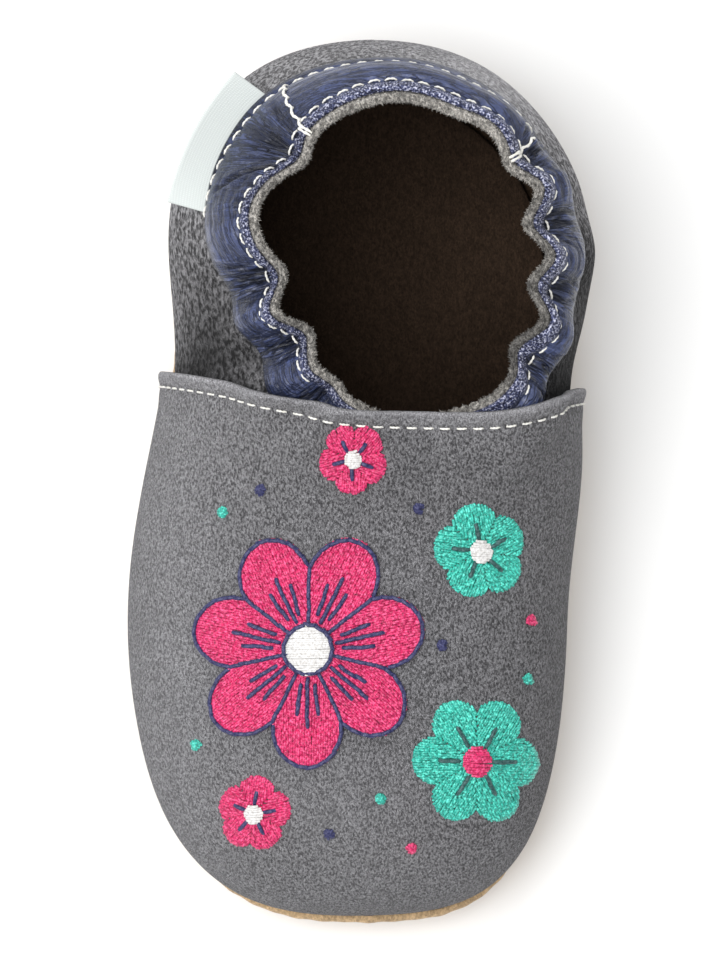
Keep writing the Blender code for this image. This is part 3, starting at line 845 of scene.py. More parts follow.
even = np.linspace(0.0, 1.0, CASING_ROWS)
casing_shares = 0.65 * even + 0.35 * (0.5 - 0.5 * np.cos(np.pi * even))
casing_high, casing_s, casing_fold, casing_raw = casing_surface(casing_t[:, None], casing_shares[None, :])
over = layer(casing_t[:, None], casing_s, casing_high)
under = layer(casing_t[:, None], casing_s[:, np.arange(CASING_ROWS - 2, 0, -4)], SEAT_GAP)
casing_grid = np.concatenate([over, under], axis=1)
casing_run = seam_run(fanned(casing_t[:, None], casing_shares)) * MM
casing_across = around(CASING_WIDTHS, casing_t)[:, None] * casing_shares * MM
casing_lie = np.stack([casing_run, casing_across, np.zeros_like(casing_run)], axis=-1)
hidden = np.zeros(under.shape[:2])
casing = piece("nappa_casing", casing_grid.reshape(-1, 3), tube_faces(*casing_grid.shape[:2]), (blue_nappa,), notes={
    "lie": np.concatenate([casing_lie, np.zeros(under.shape)], axis=1).reshape(-1, 3),
    "fold": np.concatenate([casing_fold, hidden], axis=1).ravel(),
    "raw": np.concatenate([casing_raw, hidden], axis=1).ravel(),
    "drawn": np.broadcast_to(drawn_in(casing_t)[:, None], casing_grid.shape[:2]).ravel(),
})
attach(casing, "root")
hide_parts("collar_casing")

# Side label: a short length of white woven ribbon, folded in two, its cut ends caught in the casing's outer
# seam on the outer side of the heel. It is blank.
LABEL_ENDS = (1.25, 2.62)
LABEL_FREE_EDGE = ((-18.4, 57.77, 39.0), (-28.2, 38.77, 37.0))
LABEL_LENGTH = 20.6
LABEL_THICKNESS = 0.6
LABEL_PLY = 0.2
LABEL_CLEAR = 0.008
LABEL_COLUMNS = 90
LABEL_ROWS = 24
LABEL_FOLD_ROWS = 9
LABEL_BOW = 0.35
LABEL_WAVE = 0.12
LABEL_SWELL = 1.4


def ribbon(name, shade):
    """Close plain weave, a little glossy, its ribs running across the ribbon."""
    look, tree, shader = blank_look(name, 0.62, 0.35)
    lie = noted(tree, "lie", "Vector")
    ribs, picks = (add(tree, "ShaderNodeTexWave", {"Vector": lie, "Scale": 1.0 / (size * MM), "Distortion": 0.4,
                                                   "Detail": 1.0}, bands_direction=way).outputs["Fac"]
                   for size, way in ((0.9, "X"), (1.3, "Y")))
    weave = maths(tree, "MULTIPLY", ribs, picks)
    woven = scaled(tree, shade[:3], carried(tree, weave, 0.0, 1.0, 0.90, 1.04))
    fill(tree, shader, {"Base Color": woven, "Normal": bumps(tree, 0.4, 0.12, weave)})
    return look


label_share = np.linspace(0.0, 1.0, LABEL_COLUMNS)
label_t = LABEL_ENDS[0] + label_share * (LABEL_ENDS[1] - LABEL_ENDS[0])
held = layer(label_t, casing_foot(label_t) - LABEL_CLEAR, SEAT_GAP + LABEL_THICKNESS / 2.0)
free_start, free_end = (np.array(point) for point in LABEL_FREE_EDGE)
free = free_start + label_share[:, None] * (free_end - free_start)
along_fold = free_end - free_start
fold_out = unit(np.cross(along_fold, (0.0, 0.0, 1.0)))
fold_out *= np.sign(fold_out @ (free - held).mean(axis=0))
free = free + LABEL_SWELL * np.sin(np.pi * label_share)[:, None] * fold_out
shown = np.linalg.norm(free - held, axis=1, keepdims=True)
label_up = unit(np.cross(along_fold, free - held))
label_up *= np.sign(label_up[:, 2:])


def label_contour(half_gap):
    """One face of the folded ribbon, from its upper cut end round the fold to its lower one, and its lie."""
    middle = shown - LABEL_THICKNESS / 2.0
    flat_run = np.linspace(0.0, 1.0, LABEL_ROWS) * middle
    bend = np.linspace(0.0, np.pi, LABEL_FOLD_ROWS + 2)[1:-1]
    run = np.hstack([flat_run, middle + half_gap * np.sin(bend), flat_run[:, ::-1]])
    lift = np.concatenate([np.full(LABEL_ROWS, 1.0), np.cos(bend), np.full(LABEL_ROWS, -1.0)]) * half_gap
    out = np.clip(run / shown, 0.0, 1.0)
    wave = np.sin(np.pi * label_share) * LABEL_BOW + LABEL_WAVE * np.sin(7.0 * label_share + 2.0)
    up = lift + wave[:, None] * out**2
    points = held[:, None] + out[..., None] * (free - held)[:, None] + up[..., None] * label_up[:, None]
    top = LABEL_ROWS + LABEL_FOLD_ROWS // 2 + 1
    across = np.concatenate([run[:, :top], 2.0 * middle - run[:, top:]], axis=1) * MM
    along = np.broadcast_to(LABEL_LENGTH * MM * label_share[:, None], run.shape)
    return points, np.stack([along, across, np.zeros_like(run)], axis=-1)


outer_face, outer_lie = label_contour(LABEL_THICKNESS / 2.0)
inner_face, inner_lie = label_contour(LABEL_THICKNESS / 2.0 - LABEL_PLY)
label_grid = np.concatenate([outer_face, inner_face[:, ::-1]], axis=1)
label_lie = np.concatenate([outer_lie, inner_lie[:, ::-1]], axis=1)
label_loop = label_grid.shape[1]
label_faces = grid_faces(LABEL_COLUMNS, label_loop, loop_columns=True).tolist()
for first in (0, (LABEL_COLUMNS - 1) * label_loop):
    for k in range(label_loop // 2 - 1):
        label_faces.append([first + i for i in (k, k + 1, label_loop - 2 - k, label_loop - 1 - k)])
white_ribbon = ribbon("white_ribbon", colour(216, 222, 220))
label = piece("ribbon_label", label_grid.reshape(-1, 3), label_faces, (white_ribbon,),
              notes={"lie": label_lie.reshape(-1, 3)})
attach(label, "root")
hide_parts("side_label")

# Vamp: the front panel of grey suede, sewn into the toe seam and down both sides. Across the instep its edge
# is turned, stitched down and left loose, so that it stands a little off the collar behind it.
VAMP_THICKNESS = 1.5
VAMP_LIFT_RUN = 0.16
VAMP_LOOSE = 0.55
VAMP_ENDS = (4.05, 15.84)
VAMP_OVERHANG = 1.08
VAMP_EDGE_SIDE = 9.0
VAMP_EDGE_ALONG = 76.8
VAMP_EDGE_CURVES = (0.0103, 0.0087)
VAMP_EDGE_EASES = (32.0, 46.0)
VAMP_EDGE_PER_HEIGHT = -0.10
VAMP_SEAM = 2.4
VAMP_PITCH = 2.45
VAMP_COLUMNS = 520
VAMP_NEAR_ROWS = 26
VAMP_FAR_ROWS = 90
VAMP_NEAR = 5.0
VAMP_FULL = 9.0
VAMP_ROUND = 0.7
VAMP_LIP = 0.09
VAMP_LIP_RUN = 0.9
VAMP_STILL_RUN = 8.0
VAMP_SEAM_DIP = 0.30
VAMP_GROOVE = 0.7
EDGE_STEPS = 401
EDGE_POINTS = 4000

# One row per soft trough or ridge of the vamp: its middle in mm across and along, its direction in degrees
# from across, half its length, half its width, and its depth outwards.
VAMP_CREASES = (
    (-12.0, -8.0, 12.0, 14.0, 5.0, 0.25),
    (10.0, -16.0, -8.0, 16.0, 4.5, -0.28),
    (-4.0, -34.0, 4.0, 20.0, 6.0, -0.22),
    (16.0, -40.0, 60.0, 12.0, 5.0, 0.22),
    (-20.0, -30.0, 80.0, 16.0, 4.0, -0.22),
    (2.0, -52.0, 0.0, 14.0, 4.0, 0.20),
)
# One row per cloud painted lighter or darker: middle across and along, half sizes, and the tone. The long clouds down
# the outer and inner borders and the one at the toe are painted light and shade, lighter where the light falls; the
# others are clouds of the nap.
VAMP_NAP_AND_PAINTED_LIGHT = (
    (10.0, -2.0, 18.0, 6.0, -0.14),
    (-26.0, -25.0, 8.0, 34.0, 0.14),
    (0.0, -50.0, 18.0, 9.0, 0.12),
    (20.0, 5.0, 7.0, 5.0, 0.12),
    (27.0, -28.0, 8.0, 34.0, -0.26),
    (-4.0, -14.0, 9.0, 7.0, 0.06),
    (-12.0, -44.0, 8.0, 6.0, 0.07),
    (14.0, -52.0, 7.0, 6.0, -0.06),
)


def vamp_edge(t):
    """The s at which the wall passes the line that ends the vamp."""
    s = np.linspace(0.0, VAMP_OVERHANG, EDGE_STEPS)
    side, along, height = np.moveaxis(wall(t[:, None], s), -1, 0)
    across = side - TOE_PLACE[0] - VAMP_EDGE_SIDE
    curve, ease = (np.where(across < 0.0, *values) for values in (VAMP_EDGE_CURVES, VAMP_EDGE_EASES))
    back = curve * across**2 / (1.0 + (across / ease) ** 2)
    over = along - TOE_PLACE[1] - (VAMP_EDGE_ALONG + back + VAMP_EDGE_PER_HEIGHT * height)
    past = np.argmax(over > 0.0, axis=1)
    rows = np.arange(len(t))
    before = np.maximum(past - 1, 0)
    share = np.clip(over[rows, before] / np.minimum(over[rows, before] - over[rows, past], -1e-9), 0.0, 1.0)
    return np.where((over > 0.0).any(axis=1), s[before] + s[1] * share, VAMP_OVERHANG)


def vamp_base(t, s, edge):
    """How high the vamp's under face stands off the wall: at its loose edge, and over the casing's ends."""
    puff, from_end = casing_puff(t)
    lift = (CASING_EDGE + puff + SEAT_GAP) * smooth(1.0 + from_end / CASING_TAPER)
    from_corner = np.minimum(t - VAMP_ENDS[0], VAMP_ENDS[1] - t)
    loose = np.maximum(smooth(1.0 + (s - edge) / VAMP_LIFT_RUN), smooth(1.0 - from_corner / 0.5))
    return SEAT_GAP + VAMP_LOOSE * loose + lift * smooth(1.0 + (s - casing_foot(t)) / VAMP_LIFT_RUN)


def creased(points):
    """The soft troughs and ridges of the vamp at these points."""
    depth = np.zeros(points.shape[:-1])
    for side, along, turn, half_length, half_width, out in VAMP_CREASES:
        x, y = points[..., 0] - side, points[..., 1] - along
        c, s = np.cos(np.radians(turn)), np.sin(np.radians(turn))
        depth += out * bell((x * c + y * s) / half_length) * bell((y * c - x * s) / half_width)
    return depth


def in_front(t, s, distance, steps=6):
    """The t and s that lie this far in front of the vamp's edge, square to it and along the wall."""
    small = 1e-3
    edge_run = np.gradient(wall(t, s), axis=0)
    aim = None
    for _ in range(steps):
        by_t = (wall(t + small, s) - wall(t - small, s)) / (2 * small)
        by_s = (wall(t, s + small) - wall(t, s - small)) / (2 * small)
        if aim is None:
            aim = unit(np.cross(edge_run, np.cross(by_t, by_s)))
            aim *= -np.sign(aim[:, 1:2])
        tt, ts, ss = ((a * b).sum(axis=1) for a, b in ((by_t, by_t), (by_t, by_s), (by_s, by_s)))
        ta, sa = ((a * aim).sum(axis=1) for a in (by_t, by_s))
        whole = tt * ss - ts**2
        t = t + (ss * ta - ts * sa) / whole * distance / steps
        s = np.clip(s + (tt * sa - ts * ta) / whole * distance / steps, 0.0, VAMP_OVERHANG)
    return t, s


vamp_t = np.linspace(*VAMP_ENDS, VAMP_COLUMNS)
vamp_top = vamp_edge(vamp_t)
vamp_length = travelled(wall(vamp_t[:, None], vamp_top[:, None] * np.linspace(0.0, 1.0, STEPS_DOWN)))[:, -1]
near_mm = np.linspace(0.0, 1.0, VAMP_NEAR_ROWS) ** 1.3 * np.minimum(1.0, vamp_length / VAMP_FULL)[:, None]
near_mm *= VAMP_NEAR
near_s = below(vamp_t[:, None], vamp_top[:, None], near_mm)
far_s = near_s[:, -1:] * np.linspace(1.0, 0.0, VAMP_FAR_ROWS + 1)[1:]
vamp_s = np.concatenate([near_s, far_s], axis=1)
bare = layer(vamp_t[:, None], vamp_s, 0.0)
fine_t = np.linspace(*VAMP_ENDS, EDGE_POINTS)
fine_edge = layer(fine_t, vamp_edge(fine_t), 0.0)
edge_run = travelled(fine_edge)
edge_tree = KDTree(len(fine_edge))
for k, point in enumerate(fine_edge):
    edge_tree.insert(point, k)
edge_tree.balance()
nearest = [edge_tree.find(point) for point in bare.reshape(-1, 3)]
vamp_mm = np.array([found[2] for found in nearest]).reshape(bare.shape[:2])
vamp_run = edge_run[[found[1] for found in nearest]].reshape(bare.shape[:2])
base = vamp_base(vamp_t[:, None], vamp_s, vamp_top[:, None])
sewn = needle_pull(vamp_run, vamp_mm - VAMP_SEAM, VAMP_GROOVE, VAMP_PITCH)
lip = VAMP_LIP * bell((vamp_mm - VAMP_LIP_RUN) / VAMP_LIP_RUN) * (1.0 + 0.6 * unrest(vamp_run, 3.0, seed=41))
skin = VAMP_THICKNESS / 2.0 * (1.0 + blunt(vamp_mm, VAMP_ROUND)) + lip - VAMP_SEAM_DIP * sewn
skin += smooth(vamp_mm / VAMP_STILL_RUN) * creased(bare)
vamp_over = layer(vamp_t[:, None], vamp_s, base + skin)
under_s = vamp_s[:, 1::3]
under_base = vamp_base(vamp_t[:, None], under_s, vamp_top[:, None])
back = VAMP_THICKNESS / 2.0 * (1.0 - blunt(vamp_mm[:, 1::3], VAMP_ROUND))
vamp_under = layer(vamp_t[:, None], under_s, under_base + back)
vamp_over[:, -1, 2] = seam_height(vamp_t)
vamp_under[:, -1, 2] = seam_height(vamp_t)
vamp_grid = np.concatenate([vamp_over, vamp_under[:, ::-1]], axis=1)
# The vamp's note "nap": clouds of the nap, and painted light and shade.
nap = sum(tone * bell((vamp_grid[..., 0] - side) / half_side) * bell((vamp_grid[..., 1] - along) / half_along)
          for side, along, half_side, half_along, tone in VAMP_NAP_AND_PAINTED_LIGHT)
# A lighter band along the turned edge with a thin painted highlight on its cut, and painted shade in the seam's
# needle holes.
edge_band_and_painted_highlight = 0.22 * smooth(1.6 - vamp_mm / 1.9) + 0.45 * bell(vamp_mm / 0.5)
nap[:, :vamp_over.shape[1]] += edge_band_and_painted_highlight - 0.5 * np.clip(sewn - 0.6, 0.0, 0.4)
vamp_faces = tube_faces(*vamp_grid.shape[:2])
vamp_suede = suede("grey_vamp_suede", colour(140, 139, 143), fibre=0.29, cloud=6.0, contrast=0.56, cloudiness=0.06,
                   relief=1.0, sheen=0.20, gaps=0.78)
vamp = piece("suede_vamp", vamp_grid.reshape(-1, 3), vamp_faces, (vamp_suede,), notes={"nap": nap.ravel()})
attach(vamp, "root")
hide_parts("vamp")

# Seam thread: cream polyester, sewn by machine in even stitches along both edges of the casing and the
# vamp's edge, with a bar tack at each end of the elastic. Each stitch dives into its needle holes.
THREAD = 0.38
STITCH_RISE = 0.13
STITCH_SINK = 0.16
CASING_STITCH = 0.66
VAMP_STITCH = 0.56
SEAM_SUNK = 0.20
SEAM_RAISED = 0.16
INNER_SEAM_SHOWN = (-5.1, 5.6)
SEAM_POINTS = 500
PLIED = (1.0, 0.74, 1.0)
TACK_THREAD = 0.50
TACK_STITCH = 1.25
TACK_OVERLAP = 1.15
TACK_SWING = 0.28
# One row per bar tack: where it starts and ends, as a section and a share of the casing's width.
TACKS = (((1.06, 0.14), (1.40, 1.0)), ((-1.83, 0.36), (-1.90, 0.98)))


def stitch_tree(name):
    """Turns each edge of a mesh into one stitch between its two needle holes, lifted along the note "out"."""
    tree, given = node_tree(name, "Holes", "Stitches", Thread="Float", Rise="Float", Sink="Float", Square="Float",
                            Twist="Float", Sides="Int", Points="Int")
    lines = add(tree, "GeometryNodeMeshToCurve", {"Mesh": given["Holes"]}).outputs["Curve"]
    drawn = add(tree, "GeometryNodeResampleCurve", {"Curve": lines, "Count": given["Points"]}).outputs["Curve"]
    factor = add(tree, "GeometryNodeSplineParameter").outputs["Factor"]
    from_middle = maths(tree, "ABSOLUTE", maths(tree, "MULTIPLY_ADD", factor, 2.0, -1.0))
    drop = maths(tree, "ADD", given["Rise"], given["Sink"])
    loss = maths(tree, "MULTIPLY", maths(tree, "POWER", from_middle, given["Square"]), drop)
    offset = scaled(tree, kept_note(tree, "out", "FLOAT_VECTOR"), maths(tree, "SUBTRACT", given["Rise"], loss))
    lifted = add(tree, "GeometryNodeSetPosition", {"Geometry": drawn, "Offset": offset}).outputs["Geometry"]
    turn = maths(tree, "MULTIPLY", factor, given["Twist"])
    turned = add(tree, "GeometryNodeSetCurveTilt", {"Curve": lifted, "Tilt": turn}).outputs["Curve"]
    even = add(tree, "GeometryNodeSetCurveRadius", {"Curve": turned, "Radius": 1.0}).outputs["Curve"]
    ring = {"Resolution": given["Sides"], "Radius": maths(tree, "MULTIPLY", given["Thread"], 0.5)}
    ring = add(tree, "GeometryNodeCurvePrimitiveCircle", ring).outputs["Curve"]
    plied = add(tree, "GeometryNodeTransform", {"Geometry": ring, "Scale": PLIED}).outputs["Geometry"]
    tubes = {"Curve": even, "Profile Curve": plied, "Fill Caps": True}
    tubes = add(tree, "GeometryNodeCurveToMesh", tubes).outputs["Mesh"]
    soft = add(tree, "GeometryNodeSetShadeSmooth", {"Geometry": tubes}).outputs["Geometry"]
    return end_tree(tree, "Stitches", soft, given["Look"])


STITCHES = stitch_tree("stitches")


def sew(name, stitches, look, thread, rise, sink, square, twist=0.0, sides=8, points=11):
    """One mesh of stitches, from runs of start holes, end holes and directions off the leather; in millimetres."""
    starts, ends, outs = (np.concatenate(run) for run in zip(*stitches))
    holes = bpy.data.meshes.new(name)
    both = np.stack([starts, ends], axis=1).reshape(-1, 3) * MM
    holes.from_pydata(both.tolist(), np.arange(len(both)).reshape(-1, 2).tolist(), [])
    note = holes.attributes.new("out", "FLOAT_VECTOR", "POINT")
    note.data.foreach_set("vector", np.repeat(outs, 2, axis=0).astype(np.float32).ravel())
    made = placed(name, holes)
    grow(made, STITCHES, {"Thread": thread * MM, "Rise": rise * MM, "Sink": sink * MM, "Square": square,
                          "Twist": twist, "Sides": sides, "Points": points, "Look": look})
    bpy.data.meshes.remove(holes)
    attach(made, "root")


def thread_look(name, shade, roughness, sheen, unevenness):
    """Twisted thread: fine light and dark flecks in its tone, painted highlights as pale flecks where its plies would
    catch the light, and a soft gloss.
    """
    look, tree, shader = blank_look(name, roughness, 0.4)
    where = add(tree, "ShaderNodeTexCoord").outputs["Object"]
    tone = maths(tree, "MULTIPLY", speckle(tree, where, 0.30, 2.0, 1.0 - unevenness, 1.0 + unevenness),
                 speckle(tree, where, 2.0, 2.0, 0.86, 1.12))
    dyed = scaled(tree, shade[:3], maths(tree, "MAXIMUM", tone, 0.1))
    # Painted highlights: pale flecks mixed into the thread's colour.
    painted_glint = speckle(tree, where, 0.36, 1.0, -2.4 * unevenness, 0.75 * unevenness)
    glint_colour = (*(min(1.0, 0.08 + 2.2 * x) for x in shade[:3]), 1.0)
    flecked = {0: maths(tree, "ADD", painted_glint, 0.5, use_clamp=True), 6: dyed, 7: glint_colour}
    fill(tree, shader, {"Base Color": add(tree, "ShaderNodeMix", flecked, data_type="RGBA").outputs[2],
                        "Normal": bumps(tree, 0.3, 0.06, speckle(tree, where, 0.16, 2.0, 0.0, 1.0)),
                        "Sheen Weight": sheen, "Sheen Roughness": 0.3})
    return look


def found_at(where, run, path):
    """The points of a path that lie this far along it."""
    return np.stack([np.interp(where, run, column) for column in path.T], axis=-1)


def seam_holes(path, outs, pitch, share):
    """Where each stitch of a seam starts and ends along a path, and the direction off the leather there."""
    run = travelled(path)
    middles = pitch * np.arange(0.5, run[-1] / pitch - 0.5)
    half = pitch * share / 2.0
    starts, ends = (found_at(place, run, path) for place in (middles - half, middles + half))
    return starts, ends, unit(found_at(middles, run, outs))


def casing_point(t, share, above=0.0):
    """A point on the casing's outer face, and the direction off it."""
    high, s, _, _ = casing_surface(t, share)
    here = layer(t, s, high + above)
    step = 0.02
    side = layer(t + step, s, high) - layer(t - step, s, high)
    up = layer(t, s + step, high) - layer(t, s - step, high)
    return here, unit(np.cross(side, up))


cream_thread = thread_look("cream_thread", colour(230, 227, 216), 0.55, 0.2, 0.16)
seam_runs = []
for seam, shown, sunk in ((outer_seam, OUTER_SEAM_SHOWN, -SEAM_RAISED), (inner_seam, INNER_SEAM_SHOWN, SEAM_SUNK)):
    t = np.linspace(*shown, SEAM_POINTS)
    share = seam(t) / around(CASING_WIDTHS, t)
    sunk = sunk * smooth(-0.2 - t) + 0.5 * SEAM_SUNK * smooth((t - 3.2) / 0.6)
    path = casing_point(t, share if seam is outer_seam else 1.0 - share, SEAM_DIP * 0.5 - sunk)
    seam_runs.append(seam_holes(*path, SEAM_PITCH, CASING_STITCH))
stitch_t, stitch_s = in_front(vamp_t, vamp_top, VAMP_SEAM)
stitch_high = vamp_base(stitch_t, stitch_s, vamp_edge(stitch_t)) + VAMP_THICKNESS - VAMP_SEAM_DIP * 0.4
stitch_path = layer(stitch_t, stitch_s, stitch_high)
stitch_up = layer(stitch_t, stitch_s, stitch_high + 1.0) - stitch_path
seam_runs.append(seam_holes(stitch_path, stitch_up, VAMP_PITCH, VAMP_STITCH))
sew("seam_stitches", seam_runs, cream_thread, THREAD, STITCH_RISE, STITCH_SINK, square=4.0, twist=9.0, points=13)

tack_runs = []
for (t0, share0), (t1, share1) in TACKS:
    way = np.linspace(0.0, 1.0, 60)
    path, outs = casing_point(t0 + way * (t1 - t0), share0 + way * (share1 - share0), 0.1)
    start, end, out = seam_holes(path, outs, TACK_STITCH, TACK_OVERLAP)
    swing = TACK_SWING * unit(np.cross(end - start, out))
    swing[::2] *= -1.0
    tack_runs.append((start + swing, end - swing, out))
    for tail_t in (t1 - 0.025, t1 + 0.025):
        tail = layer(tail_t, (0.95, 0.995), (1.15, 0.25))
        tack_runs.append((tail[:1], tail[1:], out[-1:]))
sew("bar_tacks", tack_runs, cream_thread, TACK_THREAD, rise=0.26, sink=0.15, square=3.0, twist=6.0)

# Embroidery: flowers worked by machine in glossy rayon on the vamp, in pink, navy, turquoise and white. The
# petals are filled with rows of stitches, then outlined and veined, and each centre is worked over them.
ROW_PITCH = 0.34
FILL_THREAD = 0.46
FILL_STITCH = 1.25
LINE_THREAD = 0.62
HAND = 0.06
LINE_STITCH = 1.5
LINE_OVERLAP = 0.25
PETAL_BELLY = 0.60
CENTRE_TUCK = 0.55
# How high each kind of stitch lies over the vamp.
FILL_HEIGHT = 0.10
OUTLINE_HEIGHT = 0.34
VEIN_HEIGHT = 0.40
CENTRE_HEIGHT = 0.66
CENTRE_LINE_HEIGHT = 0.72
KNOT_HALF = 0.75
KNOT_STITCHES = 6
KNOT_STEP = 0.06

# One row per flower: middle across and along in mm, petals, radius, radius of the centre, turn in degrees,
# petal width as a share of the room it has, and the threads of petals, outline, veins and centre.
FLOWERS = (
    (-7.5, -26.5, 7, 17.0, 3.6, 12.0, 0.96, "pink", "navy", "navy", "white"),
    (17.0, -42.5, 6, 9.2, 2.1, 0.0, 0.97, "turquoise", None, "pine", "pink"),
    (17.5, -12.5, 5, 6.6, 1.6, 30.0, 0.97, "turquoise", None, "pine", "white"),
    (-15.5, -50.0, 5, 5.2, 1.3, 10.0, 0.97, "pink", None, "navy", "white"),
    (-1.0, 0.5, 5, 4.8, 1.2, 50.0, 0.97, "pink", None, "navy", "white"),
)
# Single knots between the flowers: across and along in mm, and the thread.
KNOTS = (
    (-20.0, -6.5, "turquoise"), (-14.5, -3.5, "navy"), (8.5, -6.5, "navy"), (25.0, -22.0, "pink"),
    (12.0, -26.0, "navy"), (3.0, -48.0, "turquoise"), (-4.5, -53.0, "navy"), (24.5, -30.5, "turquoise"),
    (-24.0, -40.0, "turquoise"), (7.5, -55.0, "pink"),
)
RAYON = {
    "pink": colour(192, 38, 92),
    "navy": colour(20, 24, 72),
    "turquoise": colour(46, 162, 146),
    "pine": colour(16, 62, 62),
    "white": colour(198, 195, 192),
}
vamp_ground = BVHTree.FromPolygons([Vector(p) for p in vamp_grid.reshape(-1, 3)], vamp_faces[:-2])
laid = {shade: {"fill": [], "line": []} for shade in RAYON}


def on_vamp(x, y):
    """The point of the vamp under a place in plan, and the direction off it."""
    point, normal, _, _ = vamp_ground.ray_cast(Vector((x, y, 100.0)), Vector((0.0, 0.0, -1.0)))
    return np.array(point), np.array(normal) * (1.0 if normal.z > 0.0 else -1.0)


needle = np.random.default_rng(21)


def lay(shade, kind, start, end, above):
    """Keeps one stitch between two places in plan, about this high above the vamp."""
    (a, out_a), (b, out_b) = (on_vamp(*(np.array(place) + needle.normal(0.0, HAND, 2))) for place in (start, end))
    above = above + needle.uniform(-0.5, 0.5) * HAND
    out = unit(out_a + out_b)
    laid[shade][kind].append(tuple(x[None] for x in (a + above * out, b + above * out, out)))


def petal_span(across):
    """Where a row of stitches enters and leaves a petal of length 1, at a share of its half width."""
    bow = np.sqrt(max(0.0, 1.0 - across**2))
    return PETAL_BELLY * (1.0 - bow), PETAL_BELLY + (1.0 - PETAL_BELLY) * bow


def rows_across(half_width):
    """The middles of the rows of stitches that fill this half width, as shares of it."""
    rows = int(2 * half_width / ROW_PITCH) + 1
    return (np.arange(rows) + 0.5) / rows * 2.0 - 1.0


def fill_petal(shade, spot, length, half_width, room):
    """Rows of stitches along a petal, in brickwork so that no needle holes line up; room is where it may start."""
    for across in rows_across(half_width):
        enter, leave = (length * x for x in petal_span(across))
        enter = max(enter, room(across * half_width))
        if leave - enter < 0.5:
            continue
        cuts = np.arange(enter - FILL_STITCH * needle.uniform(0.1, 1.0), leave, FILL_STITCH)
        stops = [enter, *(x for x in cuts if enter + 0.7 < x < leave - 0.7), leave]
        for a, b in zip(stops, stops[1:]):
            ends = (spot(x, across * half_width) for x in (a - 0.12, b + 0.12))
            lay(shade, "fill", *ends, FILL_HEIGHT)


def line_of(shade, places, above):
    """A line of short stitches that overlap a little, through places in plan."""
    places = np.array(places)
    run = travelled(places)
    count = max(1, int(round(run[-1] / LINE_STITCH)))
    stops = np.linspace(0.0, run[-1], count + 1)
    for a, b in zip(stops, stops[1:]):
        ends = (max(a - LINE_OVERLAP, 0.0), min(b + LINE_OVERLAP, run[-1]))
        lay(shade, "line", *(found_at(x, run, places) for x in ends), above)


def petal_frame(middle, angle):
    """A function that turns places along and across a petal into places in plan."""
    axis = np.array((np.cos(angle), np.sin(angle)))
    aside = np.array((-axis[1], axis[0]))
    return lambda x, y: middle + x * axis + y * aside


def petal_outline(spot, length, half_width, tuck, lean):
    """Places round a petal that stop where it meets its neighbours."""
    ring = []
    for turn in np.radians(np.linspace(-165.0, 165.0, 140)):
        x = PETAL_BELLY + np.cos(turn) * (1.0 - PETAL_BELLY if np.cos(turn) > 0.0 else PETAL_BELLY)
        y = np.sin(turn) * half_width
        shared = (x * length + tuck) * lean
        if y > -shared:
            ring.append(spot(x * length, min(y, shared)))
    return ring


for side, along, petals, radius, centre, turn, breadth, petal, outline, vein, heart in FLOWERS:
    middle = np.array((side, along))
    tuck = CENTRE_TUCK * centre
    length = radius - tuck
    lean = np.tan(np.pi / petals)
    half_width = breadth * (tuck + PETAL_BELLY * length) * lean
    for angle in np.radians(turn) + 2 * np.pi * np.arange(petals) / petals:
        spot = petal_frame(middle + tuck * np.array((np.cos(angle), np.sin(angle))), angle)
        fill_petal(petal, spot, length, half_width, lambda y: abs(y) / lean - tuck + 0.2)
        if outline:
            line_of(outline, petal_outline(spot, length, half_width, tuck, lean), OUTLINE_HEIGHT)
        reach = 0.62 if outline else 0.55
        line_of(vein, [spot(x * length, 0.0) for x in np.linspace(0.14, reach, 12)], VEIN_HEIGHT)
        for hand in (-1.0, 1.0) if outline else ():
            line_of(vein, [spot(x * length, hand * (0.10 + 0.42 * x) * half_width)
                           for x in np.linspace(0.20, 0.50, 10)], VEIN_HEIGHT)
    for across in rows_across(centre) * centre:
        half = np.array((np.sqrt(centre**2 - across**2), 0.0))
        row = middle + (0.0, across)
        lay(heart, "fill", row - half, row + half, CENTRE_HEIGHT)
    if outline:
        ring = [middle + centre * np.array((np.cos(a), np.sin(a))) for a in np.linspace(0.0, 2 * np.pi, 60)]
        line_of(outline, ring, CENTRE_LINE_HEIGHT)
for side, along, shade in KNOTS:
    for k in range(KNOT_STITCHES):
        turn = k * np.pi / KNOT_STITCHES
        swing = KNOT_HALF * np.array((np.cos(turn), np.sin(turn)))
        lay(shade, "fill", (side, along) - swing, (side, along) + swing, FILL_HEIGHT + KNOT_STEP * k)

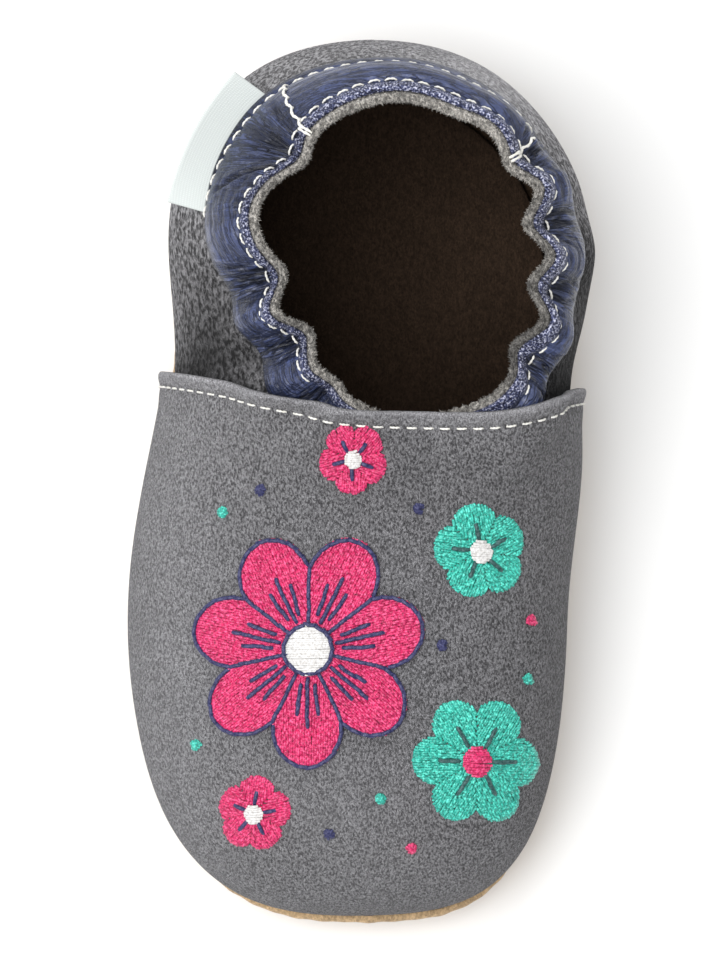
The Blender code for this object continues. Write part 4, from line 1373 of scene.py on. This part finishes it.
for shade, kinds in laid.items():
    rayon = thread_look(f"{shade}_rayon", RAYON[shade], 0.34, 0.12, 0.5 if shade in ("pink", "turquoise") else 0.2)
    for kind, stitches in kinds.items():
        if stitches:
            thickness = FILL_THREAD if kind == "fill" else LINE_THREAD
            sew(f"embroidery_{shade}_{kind}", stitches, rayon, thickness, rise=0.20, sink=0.14, square=2.4,
                sides=6, points=6)

# Floor, light and camera: a plain pale floor, one soft light from the outer side and a weaker one from behind
# the heel, an even fill, and a long lens looking almost straight down with the toe at the bottom of the picture.
FLOOR_HALF = 2.0
CAMERA_ELEVATION = 84.0
CAMERA_LENS = 250.0
SENSOR = 36.0
PICTURE_HEIGHT = 0.143
LOOK_AT = Vector((0.0, 0.0002, 0.015))

floor_mesh = bpy.data.meshes.new("floor")
corners = [(x * FLOOR_HALF, y * FLOOR_HALF, -0.0002) for x, y in ((-1, -1), (1, -1), (1, 1), (-1, 1))]
floor_mesh.from_pydata(corners, [], [(0, 1, 2, 3)])
floor_look, _, floor_shader = blank_look("floor", 0.9, 0.1)
floor_shader.inputs["Base Color"].default_value = (0.95, 0.95, 0.945, 1.0)
floor_mesh.materials.append(floor_look)
floor = placed("floor", floor_mesh)

world = bpy.data.worlds.new("studio")
world.use_nodes = True
world.node_tree.nodes["Background"].inputs["Color"].default_value = (1.0, 1.0, 1.0, 1.0)
world.node_tree.nodes["Background"].inputs["Strength"].default_value = 0.60
bpy.context.scene.world = world


def soft_light(name, place, size, power):
    lamp = bpy.data.lights.new(name, "AREA")
    lamp.size = size
    lamp.energy = power
    made = placed(name, lamp)
    made.location = place
    made.rotation_mode = "QUATERNION"
    made.rotation_quaternion = (Vector(place) - LOOK_AT).to_track_quat("Z", "Y")


soft_light("key", (-0.34, -0.12, 0.90), 0.80, 8.4)
soft_light("back", (0.06, 0.72, 0.55), 0.30, 1.6)

lens = bpy.data.cameras.new("camera")
lens.lens = CAMERA_LENS
lens.sensor_width = SENSOR
camera = placed("camera", lens)
rise = np.radians(CAMERA_ELEVATION)
back = Vector((0.0, -np.cos(rise), np.sin(rise)))
camera.location = LOOK_AT + back * (PICTURE_HEIGHT * CAMERA_LENS / SENSOR)
camera.rotation_mode = "QUATERNION"
camera.rotation_quaternion = back.to_track_quat("Z", "Y")
bpy.context.scene.camera = camera
bpy.context.scene.view_settings.view_transform = "Standard"
